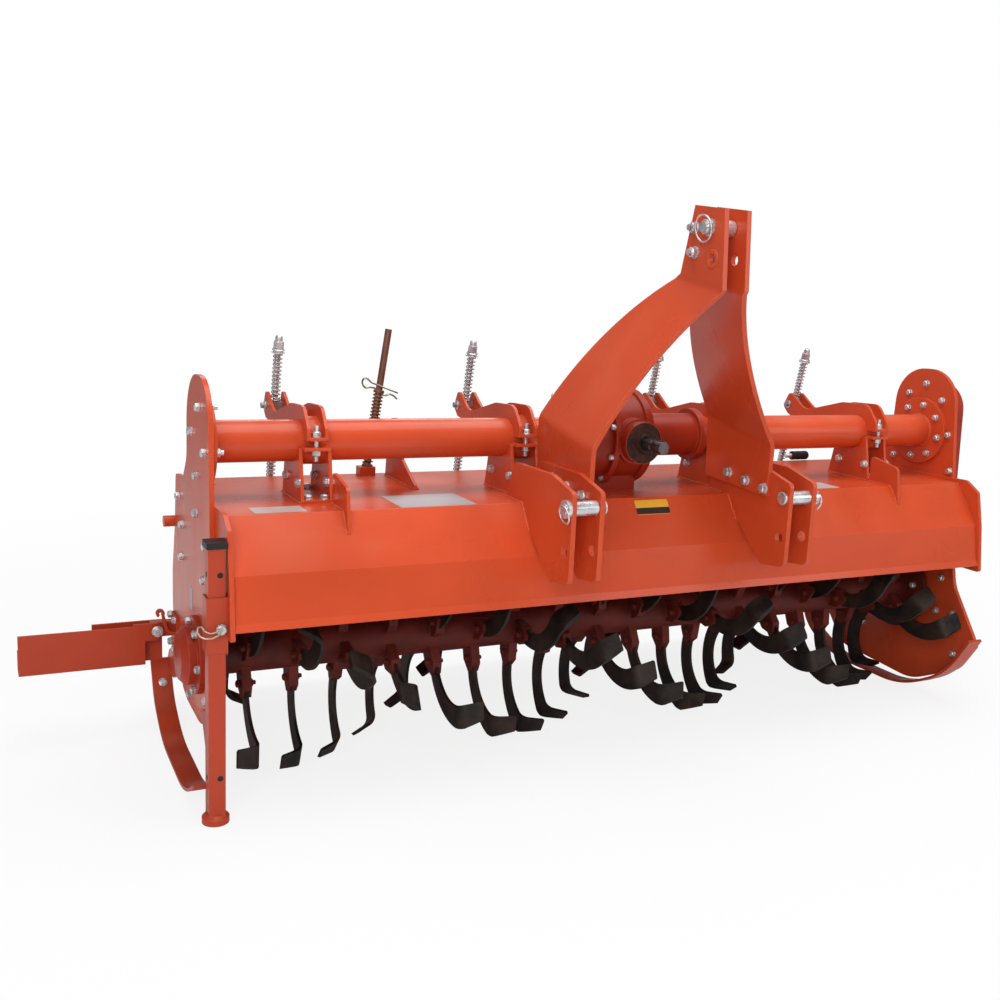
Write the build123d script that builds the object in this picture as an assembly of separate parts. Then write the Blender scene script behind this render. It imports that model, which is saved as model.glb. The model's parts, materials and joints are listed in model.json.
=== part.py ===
"""Three-point-mounted rotavator: a tined rotor under a folded hood, driven through a
central gearbox and a side gear case, with a trailing board, parking stand and side arm.

Millimetres. X runs along the rotor, Y points backwards from the tractor, Z is up.
While the pieces are made, Y = 0 and Z = 0 lie on the axis of the main tube and X = 0 is
the middle of the machine. At the end all of it moves so that the origin is on the floor,
in the middle of the bounding box.
"""
import math
import os

from build123d import *

os.makedirs("parts", exist_ok=True)

# ---------------------------------------------------------------- driving dimensions
FLOOR = -838.0            # floor below the tube axis, where skids, stand and board rest
INSIDE = 1148.0           # from the middle to the inner face of each side plate
END_SHEET = 10.0          # hood end plates
SIDE_SHEET = 12.0         # tall side plates
OUTSIDE = INSIDE + SIDE_SHEET
HOOD_HALF = INSIDE - END_SHEET

TUBE_R = 51.0             # main tube
TUBE_WALL = 6.0
TUBE_FLANGE_R = 106.0
TUBE_FLANGE = 12.0

HITCH_X = -28.0           # plane of the upper link and of the input shaft
HITCH_HALF = 320.0        # half the lower pin spread
LOWER_PIN = (-420.0, -113.0)
LOWER_PIN_R = 14.0
UPPER_PIN = (-440.0, 548.0)
UPPER_PIN_R = 12.7
SPARE_HOLE = (-458.0, 475.0)

ROTOR = (10.0, -525.0)    # rotor axis
ROTOR_TUBE_R = 55.0
ROTOR_HALF = 1118.0
TIP_R = 300.0             # swept by the tine tips
RINGS = 18                # rings of holders along the rotor
RING_PITCH = 124.0
RING_TURN = -19.1         # degrees from one ring to the next
RING_FIRST = 21.0         # where the first ring's lowest holder points, forwards of down
RING_TINES = 4
LEFT_RINGS = 4            # rings at the left whose lower tines bend to the left

DECK = -142.0             # top of the flat deck
SHEET = 6.0
HOOD_ROWS = (             # y, z of the outer face, front to rear
    (-297.0, -382.0),
    (-289.0, -365.0),
    (-271.0, -261.0),
    (-186.0, DECK),
    (311.0, DECK),
    (339.0, -236.0),
)

STAND = (-1171.5, -250.0)             # x, y of the parking stand
STAND_TUBE = 38.0
STAND_FIT = 0.5

HINGE = (352.0, -262.0)               # trailing board hinge
HINGE_R = 10.0
ROD_PIVOT = (325.0, 50.0)             # cross pins at the top of the rods
ROD_EYE = (420.0, -400.0)             # rod eyes on the board
ROD_R = 7.0
ROD_X = (-895.0, -331.0, 309.0, 895.0)
ARM_PIVOT = (-1214.0, -546.0)         # x, z of the side arm pin
ARM_Y = (300.0, 360.0)

FRAME_PARTS = {}


def keep(name, shape):
    """Store a finished sub-part under its node name."""
    FRAME_PARTS[name] = shape


# ---------------------------------------------------------------- shape helpers
def face_yz(rows):
    """Closed outline in the YZ plane from rows of y, z, corner radius."""
    points = [(row[0], row[1]) for row in rows]
    radii = [row[2] for row in rows]
    edge = FilletPolyline(*points, radius=radii, close=True)
    return Plane.YZ * make_face(edge.edges())


def plate(rows, x0, x1):
    """Flat plate across X, between x0 and x1."""
    return Pos(x0, 0, 0) * extrude(face_yz(rows), amount=x1 - x0)


def sheet_rows(rows, thick):
    """Outline of a folded sheet: rows of y, z, bend radius, thickened to the left."""
    count = len(rows)
    steps = []
    for a, b in zip(rows, rows[1:]):
        length = math.hypot(b[0] - a[0], b[1] - a[1])
        steps.append(((b[0] - a[0]) / length, (b[1] - a[1]) / length))
    back = []
    for i, row in enumerate(rows):
        before = steps[max(i - 1, 0)]
        after = steps[min(i, count - 2)]
        nx, nz = -(before[1] + after[1]), before[0] + after[0]
        scale = thick * 2.0 / (nx * nx + nz * nz)
        turn = before[0] * after[1] - before[1] * after[0]
        radius = row[2]
        if radius > 0:
            radius = radius - thick if turn > 0 else radius + thick
        back.append((row[0] + nx * scale, row[1] + nz * scale, max(radius, 0.0)))
    return [*rows, *reversed(back)]


def folded(rows, thick, x0, x1):
    """Folded sheet running along X."""
    return plate(sheet_rows(rows, thick), x0, x1)


def rod_x(y, z, radius, x0, x1):
    """Round bar along X."""
    return Pos((x0 + x1) / 2, y, z) * Rot(0, 90, 0) * Cylinder(radius, abs(x1 - x0))


def rod_y(x, z, radius, y0, y1):
    """Round bar along Y."""
    return Pos(x, (y0 + y1) / 2, z) * Rot(90, 0, 0) * Cylinder(radius, abs(y1 - y0))


def rod_z(x, y, radius, z0, z1):
    """Round bar along Z."""
    return Pos(x, y, (z0 + z1) / 2) * Cylinder(radius, abs(z1 - z0))


def block(x0, x1, y0, y1, z0, z1):
    """Rectangular block between two corners."""
    centre = ((x0 + x1) / 2, (y0 + y1) / 2, (z0 + z1) / 2)
    return Pos(*centre) * Box(abs(x1 - x0), abs(y1 - y0), abs(z1 - z0))


# ---------------------------------------------------------------- main tube and gearbox
GEARBOX_X = (-125.0, 62.0)            # cast drum of the gearbox, about the tube axis
GEARBOX_R = 125.0
COVER_R = 139.0
COVER = 20.0
TRUMPET_R = 60.0
TRUMPET_END = 255.0
BOSS_R = 56.0
BOSS_END = -168.0
SHAFT_END = -262.0
SHAFT_R = 17.5


def tube(x0, x1, flange_at):
    body = rod_x(0, 0, TUBE_R, x0, x1)
    side = -1 if flange_at < 0 else 1
    body += rod_x(0, 0, TUBE_FLANGE_R, flange_at, flange_at - side * TUBE_FLANGE)
    body -= rod_x(0, 0, TUBE_R - TUBE_WALL, x0 - 1, x1 + 1)
    return body


def make_tube_and_gearbox():
    keep("tube_left", tube(-INSIDE, HITCH_X + GEARBOX_X[0] - COVER, -INSIDE))
    keep("tube_right", tube(TRUMPET_END, INSIDE, INSIDE))

    drum_x = [HITCH_X + x for x in GEARBOX_X]
    drum = rod_x(0, 0, GEARBOX_R, *drum_x)
    drum = chamfer(drum.edges().sort_by(Axis.X)[-1], 18)
    nose = rod_y(HITCH_X, 0, 61, -138, 0) + rod_y(HITCH_X, 0, BOSS_R, BOSS_END, 0)
    foot = block(drum_x[0] + 12, drum_x[1] - 20, -70, 70, DECK, -100)
    filler = rod_z(HITCH_X - 20, 20, 24, 60, 138)
    bore = rod_y(HITCH_X, 0, SHAFT_R + 0.05, BOSS_END - 1, -60)
    keep("gearbox_housing", drum + nose + foot + filler - bore)

    cover = rod_x(0, 0, COVER_R, drum_x[0] - COVER, drum_x[0])
    cover = chamfer(cover.edges().sort_by(Axis.X)[0], 5)
    keep("gearbox_cover", cover)

    trumpet = rod_x(0, 0, TRUMPET_R, drum_x[1], TRUMPET_END)
    trumpet += rod_x(0, 0, 88, drum_x[1], drum_x[1] + 16)
    collar = rod_x(0, 0, 74, TRUMPET_END - 30, TRUMPET_END)
    trumpet += chamfer(collar.edges().sort_by(Axis.X)[-1], 8)
    trumpet -= rod_x(0, 0, TUBE_R - TUBE_WALL, drum_x[1] - 1, TRUMPET_END + 1)
    keep("gearbox_trumpet", trumpet)

    shaft = rod_y(HITCH_X, 0, SHAFT_R, SHAFT_END, -62)
    shaft -= rod_y(HITCH_X, 0, SHAFT_R + 5, -224, -217) - rod_y(HITCH_X, 0, 15, -230, -210)
    keep("input_shaft", shaft)


# ---------------------------------------------------------------- hood and side plates
END_ROWS = (              # y, z, radius of the hood's end plates
    (-47, -132, 20), (-214, -130, 20), (-262, -160, 14), (-284, -262, 30), (-302, -402, 8),
    (-230, -402, 10), (-150, -330, 60), (280, -330, 60), (368, -300, 24), (374, -244, 20),
    (330, -132, 20),
)
LEFT_ROWS = (             # y, z, radius of the left side plate
    (-116, 156, 114), (146, 156, 126), (152, -60, 60), (209, -122, 20), (312, -126, 14),
    (330, -262, 60), (372, -400, 60), (380, -698, 230), (-156, -698, 170),
)
RIGHT_ROWS = (            # y, z, radius of the right side plate
    (-116, 199, 113), (116, 199, 113), (124, -60, 60), (209, -122, 20), (312, -126, 14),
    (330, -262, 60), (372, -400, 60), (380, -640, 90), (250, -800, 90), (-80, -822, 170),
    (-262, -730, 90), (-318, -640, 8), (-304, -612, 8), (-206, -470, 120), (-170, -300, 60),
)
HUB_HOLE_R = 46.0
RUNNER_REAR = (           # y, z, radius along the underside of both skid bands
    (-90, FLOOR, 330), (230, FLOOR, 330), (372, -770, 140), (428, -668, 0),
)
LEFT_TIP = ((-210, -771, 0),)         # stops behind the parking stand
RIGHT_TIP = ((-338, -612, 0), (-262, -742, 280))
RUNNERS = (               # name, one side, other side, front of the skid bands
    ("skid_left", -OUTSIDE - 54, -OUTSIDE, LEFT_TIP),
    ("skid_right", INSIDE - 52, INSIDE, RIGHT_TIP),
)
RUNNER = 8.0


def make_hood():
    rows = [(y, z, 0.0) for y, z in HOOD_ROWS]
    outside = list(reversed(rows))
    keep("hood_deck", folded(outside, SHEET, -HOOD_HALF, HOOD_HALF))
    hinge = rod_x(*HINGE, HINGE_R, -INSIDE - 1, INSIDE + 1)
    keep("hood_end_left", plate(END_ROWS, -INSIDE, -HOOD_HALF) - hinge)
    keep("hood_end_right", plate(END_ROWS, HOOD_HALF, INSIDE) - hinge)


def make_side_plates():
    hole_left = rod_x(*ROTOR, HUB_HOLE_R, -OUTSIDE - 1, -INSIDE + 1)
    hole_right = rod_x(*ROTOR, HUB_HOLE_R, INSIDE - 1, OUTSIDE + 1)
    keep("side_plate_left", plate(LEFT_ROWS, -OUTSIDE, -INSIDE) - hole_left)
    keep("side_plate_right", plate(RIGHT_ROWS, INSIDE, OUTSIDE) - hole_right)
    for name, x0, x1, tip in RUNNERS:
        keep(name, folded([*tip, *RUNNER_REAR], RUNNER, x0, x1))


# ---------------------------------------------------------------- drive case and bearing
CASE_ROWS = (             # y, z, radius of the gear case
    (-106, 172, 104), (106, 172, 104), (118, -200, 80), (138, -660, 120),
    (-118, -660, 120), (-120, -200, 80),
)
CASE_BOX_ROWS = (         # y, z, radius of the box that stands on its bolting rim
    (-90, 156, 88), (90, 156, 88), (102, -200, 80), (122, -644, 104),
    (-102, -644, 104), (-104, -200, 80),
)
CASE_DEEP = 66.0
CASE_COVER = 12.0
STUB_R = 30.0


def make_case_and_bearing():
    case = plate(CASE_ROWS, OUTSIDE, OUTSIDE + CASE_COVER)
    case += plate(CASE_BOX_ROWS, OUTSIDE, OUTSIDE + CASE_DEEP)
    case -= rod_x(*ROTOR, STUB_R + 0.05, OUTSIDE - 1, OUTSIDE + 46)
    keep("gear_case", case)

    flange = rod_x(*ROTOR, 96, -OUTSIDE - 14, -OUTSIDE)
    boss = rod_x(*ROTOR, 72, -OUTSIDE - 50, -OUTSIDE)
    boss = chamfer(boss.edges().sort_by(Axis.X)[0], 16)
    bore = rod_x(*ROTOR, STUB_R + 0.05, -OUTSIDE - 42, -OUTSIDE + 1)
    keep("bearing_housing", flange + boss - bore)


# ---------------------------------------------------------------- hitch and mast
HITCH_SHEET = 12.0
HITCH_GAP = 32.0          # half the space between the two plates of a clevis
HITCH_ROWS = (            # y, z, radius; the lower stretch lies on the hood
    (-440, -74, 14), (-333, -46, 30), (-130, -46, 20), (-92, DECK, 0), (-186, DECK, 0),
    (-186 - 85 * 0.54, DECK - 119 * 0.54, 0), (-348, -304, 12), (-440, -292, 20),
)
LOWER_HOLE = (-412.0, -219.0)
EAR_IN = 26.0             # inner face of each mast ear from the hitch plane
MAST_SHEET = 12.0
MAST_FOOT = HITCH_HALF - HITCH_GAP - HITCH_SHEET - MAST_SHEET
MAST_TILT = 10.0          # slope of the bend lines, lower towards the tractor
MAST_TOP = 640.0
MAST_BENDS = (432.0, 34.0)
MAST_LOW = -160.0


def side_shift(side, inner, outer):
    """The x range of something between two distances from the hitch plane."""
    a, b = HITCH_X + side * inner, HITCH_X + side * outer
    return min(a, b), max(a, b)


def mast_side_face():
    """The arm seen from the side: straight ear, swept middle, straight foot."""
    ear_front, ear_rear = (-492, 588), (-374, 602)
    knee_front, knee_rear = (-506, 404), (-333, 442)
    hip_front, hip_rear = (-364, 20), (-84, 40)
    foot_front, foot_rear = (-362, -118), (-92, -104)
    edges = [
        Line(ear_front, knee_front),
        ThreePointArc(knee_front, (-398, 225), hip_front),
        Line(hip_front, foot_front),
        Line(foot_front, foot_rear),
        Line(foot_rear, hip_rear),
        ThreePointArc(hip_rear, (-150, 262), knee_rear),
        Line(knee_rear, ear_rear),
        Line(ear_rear, ear_front),
    ]
    return Plane.YZ * make_face(Wire(edges).edges())


def mast_arm(side):
    """One arm: a bent strip cut to its side outline."""
    inner = [
        (EAR_IN, MAST_TOP, 0), (EAR_IN, MAST_BENDS[0], 30), (MAST_FOOT, MAST_BENDS[1], 30),
        (MAST_FOOT, MAST_LOW, 0),
    ]
    outline = sheet_rows(inner, MAST_SHEET)
    points = [(side * row[0], row[1]) for row in outline]
    radii = [row[2] for row in outline]
    edge = FilletPolyline(*points, radius=radii, close=True)
    strip = extrude(Plane.XZ * make_face(edge.edges()), amount=400, both=True)
    strip = Pos(HITCH_X, -250, 0) * Rot(MAST_TILT, 0, 0) * strip
    cutter = Pos(HITCH_X - 400, 0, 0) * extrude(mast_side_face(), amount=800)
    arm = strip & cutter
    for y, z in (UPPER_PIN, SPARE_HOLE):
        arm -= rod_x(y, z, UPPER_PIN_R, HITCH_X - 60, HITCH_X + 60)
    return arm


def make_hitch():
    for name, side in (("left", -1), ("right", 1)):
        near = HITCH_HALF - HITCH_GAP
        far = HITCH_HALF + HITCH_GAP
        pair = []
        for a, b in ((near - HITCH_SHEET, near), (far, far + HITCH_SHEET)):
            x0, x1 = side_shift(side, a, b)
            one = plate(HITCH_ROWS, x0, x1)
            one -= rod_x(*LOWER_PIN, LOWER_PIN_R, x0 - 1, x1 + 1)
            one -= rod_x(*LOWER_HOLE, LOWER_PIN_R, x0 - 1, x1 + 1)
            pair.append(one)
        keep(f"hitch_bracket_{name}", Compound(pair))
        x0, x1 = side_shift(side, near - HITCH_SHEET - 4, far + HITCH_SHEET + 14)
        pin = rod_x(*LOWER_PIN, LOWER_PIN_R, x0, x1)
        h0, h1 = side_shift(side, far + HITCH_SHEET, far + HITCH_SHEET + 10)
        keep(f"lower_pin_{name}", pin + rod_x(*LOWER_PIN, 22, h0, h1))
        keep(f"mast_arm_{name}", mast_arm(side))

    outer = EAR_IN + MAST_SHEET
    pin = rod_x(*UPPER_PIN, UPPER_PIN_R, HITCH_X - outer - 22, HITCH_X + outer + 14)
    pin += rod_x(*UPPER_PIN, 19, HITCH_X + outer, HITCH_X + outer + 8)
    keep("upper_pin", pin)
    spacers = [
        rod_x(y, z, 13, HITCH_X - EAR_IN, HITCH_X + EAR_IN)
        for y, z in ((-382, 549), (-388, 491))
    ]
    keep("mast_spacers", Compound(spacers))


# ---------------------------------------------------------------- clamps and rod arms
CHEEK_IN = 18.0           # inner face of the rod arm cheeks from the rod
CHEEK = 8.0
CHEEK_ROWS = (            # y, z, radius of a cheek that hooks over the tube
    (-84, 8, 4), (-84, 34, 20), (-40, 88, 40), (70, 84, 60), (240, 40, 60),
    (322, 94, 14), (350, 44, 14), (322, 18, 14), (200, 2, 60), (60, -4, 10), (0, 8, 0),
)
PIVOT_R = 8.0


def rod_arm(x):
    """Two cheeks over the tube, joined by the strap and the front lip."""
    cheeks = plate(CHEEK_ROWS, x - CHEEK_IN - CHEEK, x - CHEEK_IN)
    cheeks += plate(CHEEK_ROWS, x + CHEEK_IN, x + CHEEK_IN + CHEEK)
    strap = rod_x(0, 0, TUBE_R + 8, x - CHEEK_IN, x + CHEEK_IN)
    strap -= block(x - 40, x + 40, -90, 90, -90, 8)
    lip = block(x - CHEEK_IN, x + CHEEK_IN, -84, -TUBE_R, 8, 16)
    arm = cheeks + strap + lip
    arm -= rod_x(0, 0, TUBE_R, x - 60, x + 60)
    arm -= rod_x(*ROD_PIVOT, PIVOT_R + 0.05, x - 60, x + 60)
    return arm


def clamp_base(x):
    """Saddle under the tube on two webs that stand on the deck."""
    saddle = rod_x(0, 0, TUBE_R + 8, x - 32, x + 32)
    saddle -= block(x - 40, x + 40, -90, 90, -8, 90)
    lips = block(x - 32, x + 32, -84, 84, -16, -8)
    web_rows = ((-62, -12, 0), (62, -12, 0), (88, DECK, 0), (-88, DECK, 0))
    webs = plate(web_rows, x - 40, x - 32) + plate(web_rows, x + 32, x + 40)
    base = saddle + lips + webs
    base += block(x - 40, x + 40, -88, 88, DECK, DECK + 8)
    return base - rod_x(0, 0, TUBE_R, x - 60, x + 60)


GUSSET_ROWS = (           # y, z, radius of the ribs in front of the outer clamps
    (-96, -64, 10), (-206, -86, 16), (-222, -192.4, 0), (-186, DECK, 0), (-96, DECK, 0),
)


def make_clamps():
    for number, x in enumerate(ROD_X, start=1):
        keep(f"rod_arm_{number}", rod_arm(x))
    keep("clamp_bases", Compound([clamp_base(x) for x in ROD_X]))
    ribs = [plate(GUSSET_ROWS, x + side * 34, x + side * 42)
            for x, side in ((ROD_X[0], 1), (ROD_X[3], -1))]
    keep("deck_gussets", Compound(ribs))


# ---------------------------------------------------------------- rotor and tines
TINE = 8.0                # tine thickness
TINE_ROOT = ROTOR_TUBE_R + 2
SHANK_HALF = 22.0         # half the width of the shank
BLADE_HALF = 34.0         # half the width where the blade turns sideways
BLADE_TURN = 66.0         # direction of the strip there, forwards of down
BLADE_REACH = 60.0        # how far the blade stands out sideways
BLADE_BEND = 36.0
BLADE_LEAN = 27.0         # how far its end leans on in the strip's direction
BLADE_CLIP = 13.0         # corners cut off the blade's end
HOLDER_ROWS = (           # y, z, radius of a holder's side
    (-29, -40, 0), (29, -40, 0), (29, -84, 0), (4, -118, 0), (-10, -118, 0), (-29, -96, 0),
)
HOLDER_HALF = 12.0


def tine():
    """A tine that points down: shank curved forwards, then a broad blade bent towards +X."""
    turn = math.radians(BLADE_TURN)
    along = (-math.sin(turn), -math.cos(turn))
    across = (-math.cos(turn), math.sin(turn))
    corner = math.asin(BLADE_HALF / TIP_R)
    middle_r = TIP_R * math.cos(corner) - 4
    spot = math.radians(BLADE_TURN - 40)
    middle = (-middle_r * math.sin(spot), -middle_r * math.cos(spot))
    low = (middle[0] - across[0] * BLADE_HALF, middle[1] - across[1] * BLADE_HALF)
    high = (middle[0] + across[0] * BLADE_HALF, middle[1] + across[1] * BLADE_HALF)
    past = 7.0
    low_end = (low[0] + along[0] * past, low[1] + along[1] * past)
    high_end = (high[0] + along[0] * past, high[1] + along[1] * past)
    shank_end = -122.0
    edges = [
        Line((SHANK_HALF, -TINE_ROOT), (SHANK_HALF, shank_end)),
        TangentArc((SHANK_HALF, shank_end), low, tangent=(0, -1)),
        Line(low, low_end),
        Line(low_end, high_end),
        Line(high_end, high),
        TangentArc((-SHANK_HALF, shank_end), high, tangent=(0, -1)),
        Line((-SHANK_HALF, shank_end), (-SHANK_HALF, -TINE_ROOT)),
        Line((-SHANK_HALF, -TINE_ROOT), (SHANK_HALF, -TINE_ROOT)),
    ]
    side = extrude(Plane.YZ * make_face(Wire(edges).edges()), amount=160, both=True)

    bent = [
        (0, 320, 0), (0, BLADE_LEAN, BLADE_BEND), (BLADE_REACH, 0, 0),
    ]
    outline = sheet_rows(bent, TINE)
    edge = FilletPolyline(
        *[(row[0], row[1]) for row in outline], radius=[row[2] for row in outline],
        close=True,
    )
    strip = extrude(Plane.XZ * make_face(edge.edges()), amount=140, both=True)
    end = BLADE_REACH + TINE
    blade_rows = (
        (-20, -140), (end - BLADE_CLIP, -BLADE_HALF), (end, BLADE_CLIP - BLADE_HALF),
        (end, BLADE_HALF - BLADE_CLIP), (end - BLADE_CLIP, BLADE_HALF), (-20, 140),
    )
    strip &= Pos(0, 0, -20) * extrude(make_face(Polyline(*blade_rows, close=True)), amount=400)
    place = Pos(0, *middle) * Rot(-BLADE_TURN, 0, 0)
    blank = (place * strip) & side & rod_x(0, 0, TIP_R, -160, 160)
    return Pos(-TINE / 2, 0, 0) * blank


def holder():
    """Welded box that takes the shank of one tine."""
    box = plate(HOLDER_ROWS, -HOLDER_HALF, HOLDER_HALF)
    slot = block(-TINE / 2, TINE / 2, -SHANK_HALF, SHANK_HALF, -130, -30)
    return box - slot


def make_rotor():
    barrel = rod_x(0, 0, ROTOR_TUBE_R, -ROTOR_HALF, ROTOR_HALF)
    right_tine = tine()
    left_tine = mirror(right_tine, about=Plane.YZ)
    one_holder = holder()
    tines, holders = [], []
    for ring in range(RINGS):
        x = (ring - (RINGS - 1) / 2) * RING_PITCH
        for number in range(RING_TINES):
            forward = RING_FIRST + ring * RING_TURN + number * 360 / RING_TINES
            spot = Pos(x, 0, 0) * Rot(-forward, 0, 0)
            lower = (forward + 45) % 360 < 180
            to_right = lower != (ring < LEFT_RINGS)
            tines.append(spot * (right_tine if to_right else left_tine))
            holders.append(spot * one_holder)
    barrel += holders
    barrel -= rod_x(0, 0, ROTOR_TUBE_R - 8, -ROTOR_HALF - 1, ROTOR_HALF + 1)
    place = Pos(0, *ROTOR)
    keep("rotor_tube", place * barrel)
    keep("tines", place * Compound(tines))
    hubs = []
    for side, reach in ((-1, OUTSIDE + 40), (1, OUTSIDE + 44)):
        disc = rod_x(0, 0, 132, side * ROTOR_HALF, side * (ROTOR_HALF + 12))
        disc += rod_x(0, 0, STUB_R, side * ROTOR_HALF, side * reach)
        hubs.append(disc)
    keep("rotor_hubs", place * Compound(hubs))


# ---------------------------------------------------------------- parking stand
SLEEVE_WALL = 4.0
SLEEVE_Z = (-432.0, -306.0)
LEG_TOP = -196.0
FOOT_R = 31.0


def square_tube(half, wall, z0, z1):
    x, y = STAND
    body = block(x - half, x + half, y - half, y + half, z0, z1)
    inner = half - wall
    return body - block(x - inner, x + inner, y - inner, y + inner, z0 - 1, z1 + 1)


def make_stand():
    half = STAND_TUBE / 2
    outer = half + STAND_FIT + SLEEVE_WALL
    sleeve = square_tube(outer, SLEEVE_WALL, *SLEEVE_Z)
    x, y = STAND
    keep("stand_sleeve", sleeve)
    leg = square_tube(half, 4.0, FLOOR + 18, LEG_TOP)
    foot = rod_z(x, y, FOOT_R, FLOOR, FLOOR + 22)
    foot = chamfer(foot.edges().sort_by(Axis.Z)[-1], 8)
    keep("stand_leg", leg + foot)
    keep("stand_cap", block(x - 23, x + 23, y - 25, y + 25, LEG_TOP, LEG_TOP + 14))


# ---------------------------------------------------------------- side arm
ARM_REACH = 340.0
ARM_SHEET = 5.0


def make_side_arm():
    x, z = ARM_PIVOT
    y0, y1 = ARM_Y
    tip = x - ARM_REACH
    front = block(tip, x - 30, y0, y0 + ARM_SHEET, z - 92, z + 14)
    nose = rod_y(x - 6, z - 4, 24, y0, y0 + ARM_SHEET)
    nose += block(x - 60, x - 6, y0, y0 + ARM_SHEET, z - 28, z + 20)
    floor = block(tip, x - 34, y0, y1, z - 92, z - 92 + ARM_SHEET)
    rear = block(tip, x - 34, y1 - ARM_SHEET, y1, z - 92, z - 40)
    channel = block(x - 160, x + 18, y1 - 30, y1 - 30 + ARM_SHEET, z - 92, z + 20)
    arm = front + nose + floor + rear + channel
    arm -= rod_y(x, z, 8.05, y0 - 1, y1 + 1)
    keep("side_arm", arm)

    lug_y0, lug_y1 = y0 + ARM_SHEET + 0.5, y1 - 30.5
    lug = block(-OUTSIDE - 8, x - 16, lug_y0, lug_y1, z - 20, z + 20)
    base = block(-OUTSIDE - 8, -OUTSIDE, lug_y0 - 26, lug_y1 + 26, z - 60, z + 34)
    pin = rod_y(x, z, 8.0, y0 - 10, y1 + 6)
    keep("side_arm_bracket", lug + base + pin)


# ---------------------------------------------------------------- trailing board and rods
BOARD_HALF = 1132.0
BOARD_ROWS = (            # y, z, radius of the board's front face, top to bottom
    (352, -272, 0), (384, -352, 120), (404, -470, 300), (462, -636, 400), (542, -746, 0),
)
BOARD_PIPE = (544.0, -748.0, 10.0)    # y, z, radius of the pipe along its lower edge
BOARD = 5.0
KNUCKLE_R = 15.0
KNUCKLES = (-1100.0, -560.0, 0.0, 560.0, 1100.0)
EYE_R = 22.0
EYE_HOLE_R = 14.0
LUG_PIN_R = 7.0
LUG_IN = 14.0
NUT = (150.0, 186.0)      # rod distances above the pivot
SPRING_R = 12.0


def rod_frame():
    """Plane whose local z runs up along the rods, with its origin on their pivot."""
    dy = ROD_PIVOT[0] - ROD_EYE[0]
    dz = ROD_PIVOT[1] - ROD_EYE[1]
    tilt = math.degrees(math.atan2(-dy, dz))
    return tilt, math.hypot(dy, dz)


def make_board():
    collar = rod_x(*HINGE, 15, -OUTSIDE - 26, -INSIDE)
    keep("hinge_rod", rod_x(*HINGE, HINGE_R, -OUTSIDE - 20, INSIDE + 14) + collar)
    board = folded(list(reversed(BOARD_ROWS)), BOARD, -BOARD_HALF, BOARD_HALF)
    for x in KNUCKLES:
        board += rod_x(*HINGE, KNUCKLE_R, x - 30, x + 30)
    board += rod_x(*BOARD_PIPE, -BOARD_HALF, BOARD_HALF)
    board -= rod_x(*HINGE, HINGE_R + 0.05, -BOARD_HALF - 1, BOARD_HALF + 1)
    keep("trailing_board", board)

    lugs = []
    y, z = ROD_EYE
    rows = ((y - 32, z + 38, 0), (y + 14, z + 20, 12), (y + 14, z - 20, 12), (y - 22, z - 42, 0))
    for x in ROD_X:
        pair = plate(rows, x - LUG_IN - 6, x - LUG_IN) + plate(rows, x + LUG_IN, x + LUG_IN + 6)
        pair += rod_x(y, z, LUG_PIN_R, x - LUG_IN - 6, x + LUG_IN + 6)
        lugs.append(pair - board)
    keep("board_lugs", Compound(lugs))


def make_rods():
    tilt, reach = rod_frame()
    rods, uppers, lowers, trunnions = [], [], [], []
    for x in ROD_X:
        place = Pos(x, *ROD_PIVOT) * Rot(tilt, 0, 0)
        rod = rod_z(0, 0, ROD_R, -reach + EYE_R - 2, NUT[1])
        rod += Pos(0, 0, NUT[0]) * extrude(RegularPolygon(14, 6), amount=26)
        rod += rod_z(0, 0, 14, -262, -254)
        eye = rod_x(0, -reach, EYE_R, -8, 8) - rod_x(0, -reach, EYE_HOLE_R, -9, 9)
        rods.append(place * (rod + eye))
        sleeve = rod_z(0, 0, SPRING_R, 18, NUT[0]) - rod_z(0, 0, ROD_R, 17, NUT[0] + 1)
        uppers.append(place * sleeve)
        sleeve = rod_z(0, 0, SPRING_R, -254, -75) - rod_z(0, 0, ROD_R, -255, -74)
        lowers.append(place * sleeve)
        body = block(-CHEEK_IN + 0.5, CHEEK_IN - 0.5, -14, 14, -14, 14)
        body += rod_x(0, 0, PIVOT_R, -CHEEK_IN - CHEEK - 12, CHEEK_IN + CHEEK + 12)
        body -= rod_z(0, 0, ROD_R + 0.05, -20, 20)
        trunnions.append(place * body)
    keep("spring_rods", Compound(rods))
    keep("springs_upper", Compound(uppers))
    keep("springs_lower", Compound(lowers))
    keep("trunnions", Compound(trunnions))


# ---------------------------------------------------------------- adjusting rod
ADJUST_FOOT = (-647.0, 284.0, DECK)
ADJUST_LEAN = 8.0
ADJUST_LONG = 410.0


def make_adjusting_rod():
    tilt = Rot(0, ADJUST_LEAN, 0)
    rod = tilt * rod_z(0, 0, 9.5, 10, ADJUST_LONG)
    bore = tilt * rod_z(0, 0, 6.5, ADJUST_LONG - 120, ADJUST_LONG + 1)
    foot = block(-22, 22, -18, 18, 0, 24)
    keep("adjusting_rod", Pos(*ADJUST_FOOT) * (foot + rod - bore))


def main():
    make_tube_and_gearbox()
    make_hood()
    make_side_plates()
    make_case_and_bearing()
    make_hitch()
    make_clamps()
    make_rotor()
    make_stand()
    make_side_arm()
    make_board()
    make_rods()
    make_adjusting_rod()

    boxes = [shape.bounding_box() for shape in FRAME_PARTS.values()]
    low_x, high_x = min(b.min.X for b in boxes), max(b.max.X for b in boxes)
    low_y, high_y = min(b.min.Y for b in boxes), max(b.max.Y for b in boxes)
    shift = Pos(-(low_x + high_x) / 2, -(low_y + high_y) / 2, -FLOOR)
    print("origin at", (low_x + high_x) / 2, (low_y + high_y) / 2, FLOOR)
    for name, shape in FRAME_PARTS.items():
        export_step(shift * shape, f"parts/{name}.step")


main()
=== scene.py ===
import math

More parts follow.
